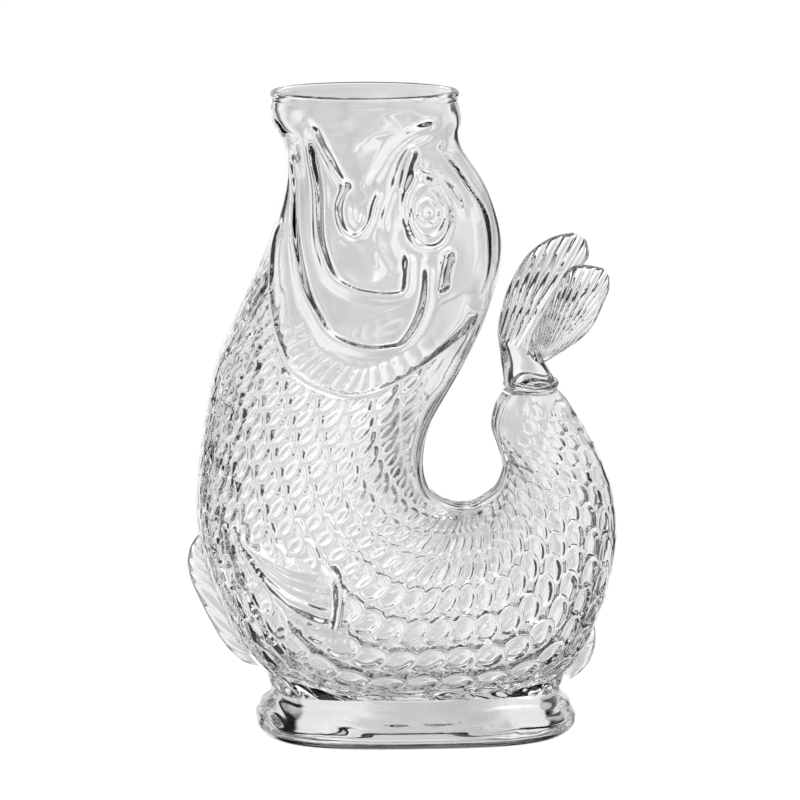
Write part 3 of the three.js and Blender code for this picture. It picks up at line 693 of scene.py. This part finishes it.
def loft(name, rings, first_pole, last_pole, slot_of):
    """A closed mesh through rings of equal point counts, capped by a point at each end."""
    n, m = len(rings[0]), len(rings)
    points = np.vstack([np.vstack(rings), first_pole, last_pole])
    j = np.arange(n)
    k = (j + 1) % n
    last = (m - 1) * n
    starts = [i * n for i in range(m - 1)]
    quads = np.concatenate([np.column_stack([s + j, s + n + j, s + n + k, s + k]) for s in starts])
    first_cap = np.column_stack([np.full(n, m * n), j, k])
    last_cap = np.column_stack([last + j, np.full(n, m * n + 1), last + k])
    quad_slots = np.repeat([slot_of(i) for i in range(m - 1)], n)
    cap_slots = np.repeat([slot_of(0), slot_of(m - 1)], n)
    return glass_mesh(name, points, quads, np.concatenate([first_cap, last_cap]), quad_slots, cap_slots)


def body_slot(ring):
    """Finish of the body's rings: the outer skin first, then the inner one."""
    return INNER if ring >= inner_from else OUTER


def solid_slot(ring):
    """Finish of every ring of a solid piece."""
    return SOLID


body = loft("fish_body", body_rings, tail_pole, cavity_pole, body_slot)

# %% [markdown]
# ## The foot's seat
# The foot is a solid oval block that takes the body in a saddle. To fuse both, the saddle must end
# inside the body's wall. A shrinkwrap modifier could find that place; here, rays shot upwards from the
# table find the body's underside, and the saddle ends a little over it.

# %% Underside of the body
SADDLE_SINK, BELOW_TABLE, MISSED = 0.8, -20.0, 40.0

skin_faces = []
for i in range(RINGS - 1):
    here, there = i * AROUND, (i + 1) * AROUND
    for j in range(AROUND):
        k = (j + 1) % AROUND
        skin_faces.append((here + j, here + k, there + k, there + j))
skin = BVHTree.FromPolygons(base.reshape(-1, 3).tolist(), skin_faces)


def seat(x, y):
    """Height inside the body's wall over a point of the table."""
    hit = skin.ray_cast(Vector((x, y, BELOW_TABLE)), Vector((0, 0, 1)))[0]
    return (hit.z if hit else MISSED) + SADDLE_SINK


print("Seat over the middle of the foot: %.1f mm" % seat(0, 0))

# %% [markdown]
# ## The foot
# The foot rests flat, bulges just above the table, sweeps in to a waist and rises to its seat. It was
# pressed from a hot lump, so its side isn't perfect: long soft streaks, two seams in front and behind,
# and small lumps at both ends. Each ring is an oval that these marks push in and out.

# %% Foot mesh
FOOT_SIDE = [
    (59.2, 35.2, 0.0), (62.8, 38.7, 1.1), (65.5, 41.4, 3.2), (67.0, 42.9, 5.8), (66.6, 42.2, 8.0),
    (65.2, 39.6, 10.6), (62.8, 35.6, 13.6), (60.6, 31.4, 16.6), (59.6, 28.4, 19.0),
]
FOOT_POINTS, FOOT_SQUARENESS, FOOT_MEAN_HALF = 240, 3.0, 45
SADDLE_LENGTH, SADDLE_DEPTH, LOWEST_SEAT = 63.0, 31.4, 19.6
SEAMS, SEAM_HEIGHT, SEAM_WIDTH = (-40, 37), 0.35, 0.9
foot_turn = np.linspace(0, 2 * np.pi, FOOT_POINTS, endpoint=False)


def foot_oval(half_length, half_depth):
    """Points of a rounded oval."""
    c, s = np.cos(foot_turn), np.sin(foot_turn)
    power = 2 / FOOT_SQUARENESS
    return np.stack([half_length * np.sign(c) * np.abs(c) ** power,
                     half_depth * np.sign(s) * np.abs(s) ** power], -1)


def flow_marks(z):
    """Flow marks of the foot: long soft streaks in front and behind, lumps at both ends."""
    sway = 2.6 * np.sin(3 * foot_turn + 0.4)
    streaks = 0.25 * np.sin(1.1 * z + sway + 1.4 * np.sin(7 * foot_turn)) * smooth_step(4, 8, z)
    lumps = np.sin(14 * foot_turn + 0.45 * z) * np.sin(0.5 * z + 2 * np.sin(5 * foot_turn))
    return streaks + 0.2 * lumps * np.abs(np.cos(foot_turn)) ** 3 * smooth_step(6, 12, z)


foot_rings = []
for half_length, half_depth, z in smooth_curve(FOOT_SIDE, np.linspace(0, len(FOOT_SIDE) - 1, 60)):
    plan = foot_oval(half_length, half_depth)
    seams = sum(SEAM_HEIGHT * hump(plan[:, 0] - seam, SEAM_WIDTH) for seam in SEAMS)
    marks = flow_marks(z) + seams * smooth_step(1, 4, z)
    plan = plan * (1 + marks / FOOT_MEAN_HALF)[:, None]
    foot_rings.append(np.column_stack([plan, np.full(FOOT_POINTS, z)]))

waist_length, waist_depth, waist_height = FOOT_SIDE[-1]
for share in (0.15, 0.3, 0.45, 0.6, 0.8, 1.0):
    plan = foot_oval(waist_length + 3.4 * share**1.5, waist_depth + 3.0 * share)
    meet = np.array([seat(px, py) for px, py in plan])
    rise = (np.maximum(meet, LOWEST_SEAT) - waist_height) * share
    knobs = 0.6 * np.sin(26 * foot_turn + 3 * share) * np.sin(np.pi * share)
    marks = flow_marks(waist_height + rise) * (1 - share) + knobs
    plan = plan * (1 + marks / FOOT_MEAN_HALF)[:, None]
    foot_rings.append(np.column_stack([plan, waist_height + rise]))
for share in (0.94, 0.86, 0.76, 0.64, 0.5, 0.35, 0.18):
    plan = foot_oval(SADDLE_LENGTH * share, SADDLE_DEPTH * share)
    foot_rings.append(np.column_stack([plan, [seat(px, py) for px, py in plan]]))
foot = loft("foot_block", foot_rings, (0, 0, 0), (0, 0, seat(0, 0)), solid_slot)

# %% [markdown]
# ## Keel fins
# Two thin fins stand on the line of symmetry: a long one on the belly and a short one low on the tail's
# side. Each is a blade with shallow slanted rays between an outer edge and a root. The root ends inside
# the wall, because a root that reached the hollow would show as a second edge there.

# %% Keel fins
ROOT_DEPTH, BLADE_STEPS = 1.9, 70
BELLY_FIN_EDGE = [
    (-89.2, 86), (-93.6, 80.5), (-95.4, 73.5), (-94.6, 67), (-92.4, 60.6), (-86.3, 47.7), (-80.1, 37.2),
    (-72.5, 29.8), (-65.5, 27.6),
]
ANAL_FIN_EDGE = [(73.6, 48), (75.5, 43), (76.0, 37.5), (75.4, 33), (73.7, 28), (70, 23.5), (65.5, 20)]


def into_wall(points):
    """The nearest places on the belly's outline, moved into the wall."""
    outline = belly_line + np.array([0, WAIST])
    ahead = np.gradient(outline, axis=0)
    inwards = np.stack([-ahead[:, 1], ahead[:, 0]], -1)
    inwards /= np.linalg.norm(inwards, axis=1, keepdims=True)
    nearest = [np.argmin(np.hypot(*(outline - p).T)) for p in points]
    return outline[nearest] + ROOT_DEPTH * inwards[nearest]


def blade(name, edge, thick, thin, ray_count, ray_depth, slant):
    """A closed blade in the plane y = 0 between an edge line and its root in the wall."""
    outside = smooth_curve(edge, np.linspace(0, len(edge) - 1, BLADE_STEPS))
    root = into_wall(outside)
    shares = np.concatenate([np.linspace(0, 0.9, 9), [0.96, 0.99]])
    rings = []
    for k in range(BLADE_STEPS):
        end = max(0.25, math.sin(math.pi * (k / (BLADE_STEPS - 1))) ** 0.35)
        ring = []
        for sign in (1, -1):
            for share in shares[::sign]:
                p = root[k] + (outside[k] - root[k]) * share
                ray = math.cos(2 * math.pi * (ray_count * k / BLADE_STEPS + slant * share))
                ray = ray_depth * ray * smooth_step(0.1, 0.35, share)
                half = (thick + (thin - thick) * share) / 2 * math.sqrt(max(0.02, 1 - share**5))
                half = half + ray * math.sqrt(max(0, 1 - share**6))
                ring.append((p[0], sign * half * end, p[1]))
        rings.append(np.array(ring))
    return loft(name, rings, rings[0].mean(0), rings[-1].mean(0), solid_slot)


belly_fin = blade(
    "belly_fin_blade", BELLY_FIN_EDGE, thick=5.2, thin=3.0, ray_count=9, ray_depth=0.4, slant=1.6)
anal_fin = blade(
    "anal_fin_blade", ANAL_FIN_EDGE, thick=6.0, thin=4.0, ray_count=4, ray_depth=0.3, slant=1.0)

# %% [markdown]
# ## The tail's outline
# The tail is drawn from a hot solid lump: a twisted stem rises from a weld ring and opens into a back
# lobe, and a second lobe is folded over in front of it. Each lobe lies between two edge lines and has
# a half thickness along the way.

# %% Edges of the tail
LOBE_RINGS, LOBE_POINTS = ((96, 260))
STEM_LEFT = [
    (37.2, 144.5), (36.6, 150.0), (35.0, 157.0), (34.0, 163.6), (34.0, 169.4), (35.6, 178.2),
    (38.6, 187.8), (44.4, 198.4), (50.3, 204.4), (57.4, 208.4), (65.0, 210.0),
]
STEM_RIGHT = [
    (58.4, 144.5), (57.4, 149.0), (55.6, 153.4), (53.4, 158.0), (52.4, 163.4), (54.6, 170.6),
    (58.6, 179.6), (63.4, 188.6), (68.4, 195.2), (71.8, 200.2), (70.8, 206.8),
]
STEM_HALF = [10.4, 10.0, 9.4, 8.6, 7.7, 6.6, 5.6, 4.8, 4.2, 3.5, 2.4]
FLAP_TOP = [
    (45.4, 160.4), (46.8, 166.0), (48.8, 170.2), (52.4, 176.6), (56.8, 185.4), (60.9, 193.4),
    (65.4, 196.9), (71.6, 197.0), (77.4, 195.6),
]
FLAP_LOW = [
    (50.6, 156.0), (54.0, 157.0), (58.2, 159.6), (64.2, 163.4), (69.7, 167.6), (74.2, 173.4),
    (77.3, 180.4), (79.8, 186.6), (80.0, 192.0),
]
FLAP_HALF = [3.2, 4.6, 5.0, 4.8, 4.4, 4.0, 3.4, 2.6, 1.5]
print("Tail: %d rings of %d points on each lobe" % (LOBE_RINGS, LOBE_POINTS))

# %% [markdown]
# ## The tail's lobes
# Pressed grooves fan out along each lobe, deeper on the side that faced the tool. A knife tool or a
# Boolean could cut them, but soft grooves need many cuts. Lofted rings that are thinner wherever a groove
# passes give them at once, and a fold that winds round the stem comes the same way.

# %% Tail mesh


def lobe(name, first, second, halves, shape):
    """A closed lobe between two edge lines; shape gives what is cut away, the shift and the width."""
    rings = []
    angle = np.linspace(0, 2 * np.pi, LOBE_POINTS, endpoint=False)
    side = np.sign(np.sin(angle)) * np.abs(np.sin(angle)) ** 0.8
    for share in np.linspace(0, 1, LOBE_RINGS):
        at = share * (len(first) - 1)
        a, b = smooth_curve(first, at), smooth_curve(second, at)
        half = float(smooth_curve(halves, at)[0])
        smooth_xz = (a + b) / 2 - (b - a) / 2 * np.cos(angle)[:, None]
        cut, shift, widen = shape(share, angle, smooth_xz)
        xz = (a + b) / 2 - (b - a) / 2 * (np.cos(angle) * widen)[:, None]
        cut_in = np.minimum(cut, 0.75 * half) * np.abs(np.sin(angle)) ** 0.6
        y = (half - cut_in) * side * widen + shift
        rings.append(np.column_stack([xz[:, 0], y, xz[:, 1]]))
    return loft(name, rings, rings[0].mean(0), rings[-1].mean(0), solid_slot)


def fan_grooves(xz, hub, period):
    """Grooves along the rays from a hub, one per period of degrees."""
    turn = np.degrees(np.arctan2(xz[:, 1] - hub[1], xz[:, 0] - hub[0]))
    return 1 - np.abs(np.cos(np.pi * turn / period + 0.8 * np.sin(turn / 4))) ** 0.6


def stem_shape(share, angle, xz):
    """Stem with a twisted fold, then a fan of deep grooves."""
    near = np.sin(angle) < 0
    fan = smooth_step(0.28, 0.5, share) * (1 - 0.5 * smooth_step(0.92, 1.0, share))
    cut = fan * (0.9 + 2.8 * near) * fan_grooves(xz, hub=(20, 125), period=2.5)
    swirl = smooth_step(0.03, 0.1, share) * (1 - smooth_step(0.3, 0.5, share))
    fold = 3.8 * swirl * (0.5 + 0.5 * np.cos(angle - 2.95 - 8.1 * share)) ** 3
    fold += 1.6 * swirl * (0.5 + 0.5 * np.cos(angle - 1.6 - 8.1 * share)) ** 4
    return cut + fold, 1.2 * fan, 1 + 0.06 * swirl * np.cos(2 * angle + 11 * share)


def flap_shape(share, angle, xz):
    """The front lobe: a finer fan, shifted to the front of the stem."""
    near = np.sin(angle) < 0
    cut = smooth_step(0.1, 0.3, share) * (0.4 + 1.5 * near) * fan_grooves(xz, hub=(48, 149), period=3.3)
    return cut, -3.6 - 1.0 * math.sin(math.pi * share), np.ones_like(angle)


tail = lobe("tail_back_lobe", STEM_LEFT, STEM_RIGHT, STEM_HALF, stem_shape)
flap = lobe("tail_front_lobe", FLAP_TOP, FLAP_LOW, FLAP_HALF, flap_shape)

# %% [markdown]
# ## The weld ring
# Where the solid tail was set on the hollow body, the hot glass squeezed out into a ring. Blender's torus
# would be too even, so the bead is built from rings of its own, and its height and thickness wander.

# %% Weld ring
RING_X, RING_HEIGHT, RING_RADIUS = 47.8, 146.9, 10.4
BEAD_HALF_HEIGHT, BEAD_STEPS, BEAD_POINTS = 1.5, 14, 96


def hoop(name, rings):
    """A closed ring-shaped mesh: the rings go round the bead's own section."""
    n, m = len(rings[0]), len(rings)
    j = np.arange(n)
    k = (j + 1) % n
    pairs = [(i * n, (i + 1) % m * n) for i in range(m)]
    quads = np.concatenate([np.column_stack([s + j, s + k, t + k, t + j]) for s, t in pairs])
    no_caps, no_slots = np.zeros((0, 3), int), np.zeros(0)
    return glass_mesh(name, np.vstack(rings), quads, no_caps, np.full(len(quads), SOLID), no_slots)


bead_rings = []
angle = np.linspace(0, 2 * np.pi, BEAD_POINTS, endpoint=False)
for step in range(BEAD_STEPS):
    a = 2 * math.pi * step / BEAD_STEPS
    radius = RING_RADIUS + (1.0 + 0.2 * np.sin(3 * angle + 1)) * math.cos(a)
    wander = 0.6 * np.sin(2 * angle + 0.6)
    z = RING_HEIGHT + wander + 0.1 * np.sin(5 * angle) + BEAD_HALF_HEIGHT * math.sin(a)
    x = RING_X + radius * 1.02 * np.cos(angle)
    bead_rings.append(np.column_stack([x, radius * np.sin(angle), z]))
collar = hoop("weld_ring", bead_rings)

# %% [markdown]
# ## One piece of glass
# Light must not meet a wall between the foot and the body, because the real glass is fused there. Joined
# objects would keep those walls. A Boolean union removes them and leaves one closed skin.

# %% Fuse the glass
CREASE = math.radians(62)


def fuse(target, others):
    """Union of closed meshes, applied to the target."""
    for other in others:
        mod = target.modifiers.new("fuse", "BOOLEAN")
        mod.operation, mod.object, mod.solver = "UNION", other, "MANIFOLD"
        mod.material_mode = "INDEX"
    graph = bpy.context.evaluated_depsgraph_get()
    mesh = bpy.data.meshes.new_from_object(target.evaluated_get(graph))
    target.modifiers.clear()
    old = target.data
    target.data = mesh
    bpy.data.meshes.remove(old)
    for other in others:
        data = other.data
        bpy.data.objects.remove(other)
        bpy.data.meshes.remove(data)
    return target


fused_on = [foot, belly_fin, anal_fin, tail, flap, collar]
for piece in [body] + fused_on:
    for _ in (OUTER, INNER, SOLID):
        piece.data.materials.append(None)
glass = fuse(body, fused_on)
glass.name = "carafe_glass"
glass.data.polygons.foreach_set("use_smooth", [True] * len(glass.data.polygons))
glass.data.set_sharp_from_angle(angle=CREASE)

check = bmesh.new()
check.from_mesh(glass.data)
open_edges = sum(1 for e in check.edges if not e.is_manifold)
print("Fused glass: %d faces, %d open edges, %.0f ml of glass" % (
    len(check.faces), open_edges, check.calc_volume(signed=True) * 1e6))
check.free()

# %% [markdown]
# ## Glass finishes
# Clear glass is never one even colour: it holds faint clouds and fine ripples, and thick glass looks a
# little greyer. All three skins are fire polished, so their roughness is 0. The inner skin was blown
# freely and has the widest ripples, and the solid pieces have the strongest tint.

# %% Glass material


def glass_material(name, tint, ripple, ripple_scale):
    """Clear glass with a faint cloudy tint and fine ripples."""
    mat = bpy.data.materials.new(name)
    mat.use_nodes = True
    nodes, links = mat.node_tree.nodes, mat.node_tree.links
    nodes.clear()
    out = nodes.new("ShaderNodeOutputMaterial")
    shader = nodes.new("ShaderNodeBsdfPrincipled")
    shader.inputs["Transmission Weight"].default_value = 1.0
    shader.inputs["IOR"].default_value = 1.5
    shader.inputs["Roughness"].default_value = 0.0
    place = nodes.new("ShaderNodeTexCoord")
    cloud = nodes.new("ShaderNodeTexNoise")
    cloud.inputs["Scale"].default_value = 18.0
    cloud.inputs["Detail"].default_value = 2.0
    ramp = nodes.new("ShaderNodeValToRGB")
    dim, full = ramp.color_ramp.elements
    dim.position, full.position = 0.3, 0.7
    dim.color = (*[c * 0.985 for c in tint], 1)
    full.color = (*tint, 1)
    ripples = nodes.new("ShaderNodeTexNoise")
    ripples.inputs["Scale"].default_value = ripple_scale
    ripples.inputs["Detail"].default_value = 1.0
    bump = nodes.new("ShaderNodeBump")
    bump.inputs["Strength"].default_value = 0.25
    bump.inputs["Distance"].default_value = ripple
    links.new(place.outputs["Object"], cloud.inputs["Vector"])
    links.new(place.outputs["Object"], ripples.inputs["Vector"])
    links.new(cloud.outputs["Fac"], ramp.inputs["Fac"])
    links.new(ramp.outputs["Color"], shader.inputs["Base Color"])
    links.new(ripples.outputs["Fac"], bump.inputs["Height"])
    links.new(bump.outputs["Normal"], shader.inputs["Normal"])
    links.new(shader.outputs["BSDF"], out.inputs["Surface"])
    return mat


polished = glass_material("fire_polished_glass", (0.96, 0.96, 0.96), 0.0003, 90.0)
blown = glass_material("blown_inner_skin", (0.96, 0.96, 0.96), 0.0005, 60.0)
pressed = glass_material("solid_pressed_glass", (0.86, 0.858, 0.853), 0.0003, 70.0)
print("Finishes:", [mat.name for mat in (polished, blown, pressed)])

# %% [markdown]
# ## Painted reflection: the dark line of the foot
# Just over the table the real foot shows a thin dark line, where its lower edge mirrors the room. Our
# studio is brighter than that room, so that reflection is painted in as a tint by height: a ramp darkens
# the solid glass between about one and four millimetres over the table and leaves the rest alone.

# %% Painted reflection low on the foot
LINE_SPAN = 0.02
# Painted reflection: a near-black band in the tint of the solid glass, clear above and below it
CLEAR, PAINTED_DARK = (1, 1, 1), (0.03, 0.02, 0.018)
PAINTED_REFLECTION_STOPS = [(0.06, CLEAR), (0.09, PAINTED_DARK), (0.16, PAINTED_DARK), (0.21, CLEAR)]


def paint_reflection_by_height(mat, painted_stops):
    """Paint a reflection into a material's tint: multiply it by a ramp over the height, as shares of the
    line's span.
    """
    nodes, links = mat.node_tree.nodes, mat.node_tree.links
    place = next(node for node in nodes if node.bl_idname == "ShaderNodeTexCoord")
    shader = next(node for node in nodes if node.bl_idname == "ShaderNodeBsdfPrincipled")
    tint = shader.inputs["Base Color"].links[0].from_socket
    axes = nodes.new("ShaderNodeSeparateXYZ")
    share = nodes.new("ShaderNodeMath")
    share.operation = "MULTIPLY"
    share.inputs[1].default_value = 1 / LINE_SPAN
    by_height = nodes.new("ShaderNodeValToRGB")
    stops = by_height.color_ramp.elements
    stops[0].position, stops[1].position = 0.0, 1.0
    for at, shade in painted_stops:
        stops.new(at).color = (*shade, 1)
    for end in (0, len(stops) - 1):
        stops[end].color = (*CLEAR, 1)
    shaded = nodes.new("ShaderNodeMix")
    shaded.data_type, shaded.blend_type = "RGBA", "MULTIPLY"
    shaded.inputs["Factor"].default_value = 1.0
    links.new(place.outputs["Object"], axes.inputs["Vector"])
    links.new(axes.outputs["Z"], share.inputs[0])
    links.new(share.outputs[0], by_height.inputs["Fac"])
    links.new(tint, shaded.inputs[6])
    links.new(by_height.outputs["Color"], shaded.inputs[7])
    links.new(shaded.outputs[2], shader.inputs["Base Color"])


# Paints the dark reflection into the solid glass just over the table
paint_reflection_by_height(pressed, PAINTED_REFLECTION_STOPS)
for slot, mat in ((OUTER, polished), (INNER, blown), (SOLID, pressed)):
    glass.data.materials[slot] = mat
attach(glass, "root")
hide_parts(*[part["node"] for part in frame["record"]["subparts"]])
darkest = [1000 * LINE_SPAN * at for at, shade in PAINTED_REFLECTION_STOPS if shade == PAINTED_DARK]
print("The foot is darkest from %.1f to %.1f mm over the table" % tuple(darkest))

# %% [markdown]
# ## The table
# The carafe stands on a plain white table. A white that glows evenly keeps the picture clean. Only the
# camera sees it: light inside the glass looks through the table into the lower sky, which draws the dark
# lines under the belly and in the foot, all but the painted reflection just over the table.

# %% White table
scene = bpy.context.scene
scene.view_settings.view_transform = "Standard"
scene.cycles.max_bounces = 24
scene.cycles.transmission_bounces = 24
scene.cycles.glossy_bounces = 12

bpy.ops.mesh.primitive_plane_add(size=60, location=(0, 0, -0.0004))
floor = bpy.context.object
floor.name = "studio_floor"
paper = bpy.data.materials.new("light_table")
paper.use_nodes = True
nodes, links = paper.node_tree.nodes, paper.node_tree.links
nodes.clear()
seen = nodes.new("ShaderNodeLightPath")
white = nodes.new("ShaderNodeEmission")
white.inputs["Strength"].default_value = 1.02
clear = nodes.new("ShaderNodeBsdfTransparent")
choose = nodes.new("ShaderNodeMixShader")
paper_out = nodes.new("ShaderNodeOutputMaterial")
links.new(seen.outputs["Is Camera Ray"], choose.inputs["Fac"])
links.new(clear.outputs["BSDF"], choose.inputs[1])
links.new(white.outputs["Emission"], choose.inputs[2])
links.new(choose.outputs["Shader"], paper_out.inputs["Surface"])
floor.data.materials.append(paper)
print("Table: %.0f m wide, glow %.2f" % (floor.dimensions.x, white.inputs["Strength"].default_value))

# %% [markdown]
# ## The sky
# Glass shows its surroundings, so the light is drawn into the sky. It is bright almost everywhere, with
# narrow dark strips that stand like curtains between the bright panels. The curved glass squeezes each
# strip into a thin dark line. Some degrees over the horizon the strips end, and dark bands low
# and high with bright rings beside them give the lines that run across.

# %% Studio sky
world = bpy.data.worlds.new("studio_sky")
scene.world = world
world.use_nodes = True
sky_nodes, sky_links = world.node_tree.nodes, world.node_tree.links
sky_nodes.clear()
direction = sky_nodes.new("ShaderNodeTexCoord")
axes = sky_nodes.new("ShaderNodeSeparateXYZ")
sky_links.new(direction.outputs["Generated"], axes.inputs["Vector"])


def sky_math(operation, *inputs):
    """A maths node of the sky, fed by sockets or numbers."""
    node = sky_nodes.new("ShaderNodeMath")
    node.operation = operation
    for socket, value in zip(node.inputs, inputs):
        if isinstance(value, (int, float)):
            socket.default_value = value
        else:
            sky_links.new(value, socket)
    return node.outputs[0]


def sky_ramp(position, stops):
    """Brightness by a share of a half turn, through stops of degrees and brightness."""
    node = sky_nodes.new("ShaderNodeFloatCurve")
    curve = node.mapping.curves[0]
    brightest = max(value for _, value in stops)
    while len(curve.points) < len(stops):
        curve.points.new(0.5, 0.5)
    for point, (degrees, value) in zip(curve.points, stops):
        point.location = (degrees / 180, value / brightest)
        point.handle_type = "AUTO_CLAMPED"
    node.mapping.update()
    sky_links.new(position, node.inputs["Value"])
    return sky_math("MULTIPLY", node.outputs["Value"], brightest)


# Degrees round from straight behind the carafe, and degrees up from straight below it
SIDES = [
    (0, 0.85), (4, 0.92), (8, 1.1), (12, 1.32), (25, 1.32), (29, 0.02), (41, 0.02), (45.5, 1.0),
    (61, 1.0), (66, 0.03), (78, 0.03), (83, 0.85), (103, 0.85), (108, 0.06), (117, 0.06), (122, 0.85),
    (143, 0.85), (148, 0.06), (155, 0.06), (160, 0.95), (172, 0.95), (180, 0.75),
]
OVER_STRIPS = [(0, 0.0), (95, 0.0), (101, 0.8), (180, 0.8)]
HEIGHTS = [
    (0, 0.85), (31, 0.85), (36, 0.02), (48, 0.02), (53, 0.95), (60, 1.35), (71, 1.06), (77, 1.0),
    (91, 1.0), (100, 0.94), (107, 0.94), (112, 1.35), (120, 1.35), (129, 0.05), (160, 0.07),
    (170, 1.6), (180, 1.6),
]
round_turn = sky_math("ABSOLUTE", sky_math("ARCTAN2", axes.outputs["X"], axes.outputs["Y"]))
bearing = sky_math("DIVIDE", round_turn, math.pi)
tilt = sky_math("ADD", sky_math("DIVIDE", sky_math("ARCSINE", axes.outputs["Z"]), math.pi), 0.5)
strips = sky_math("MAXIMUM", sky_ramp(bearing, SIDES), sky_ramp(tilt, OVER_STRIPS))
panels = sky_math("MULTIPLY", strips, sky_ramp(tilt, HEIGHTS))
sky = sky_nodes.new("ShaderNodeBackground")
sky_out = sky_nodes.new("ShaderNodeOutputWorld")
sky_links.new(panels, sky.inputs["Strength"])
sky_links.new(sky.outputs["Background"], sky_out.inputs["Surface"])
print("Sky: %d stops round, %d stops up" % (len(SIDES), len(HEIGHTS)))

# %% [markdown]
# ## The camera
# A long lens from some distance keeps the outline calm. The camera stands almost square to the flank,
# a little above the carafe, so that the mouth shows as a flat oval.

# %% Camera
LOOK_AT = Vector((-0.00658, 0.0, 0.14045))
AZIMUTH, ELEVATION, DISTANCE = math.radians(-3.2), math.radians(10.03), 1.595
FOCAL_LENGTH, SENSOR = 172.64, 36.0

towards = Vector((
    math.sin(AZIMUTH) * math.cos(ELEVATION), -math.cos(AZIMUTH) * math.cos(ELEVATION), math.sin(ELEVATION)))
eye_at = LOOK_AT + DISTANCE * towards
lens = bpy.data.cameras.new("studio_camera")
lens.lens, lens.sensor_width = FOCAL_LENGTH, SENSOR
camera = bpy.data.objects.new("studio_camera", lens)
camera.location = eye_at
camera.rotation_euler = (LOOK_AT - eye_at).to_track_quat("-Z", "Y").to_euler()
scene.collection.objects.link(camera)
scene.camera = camera
print("Camera at", [round(v, 3) for v in eye_at])
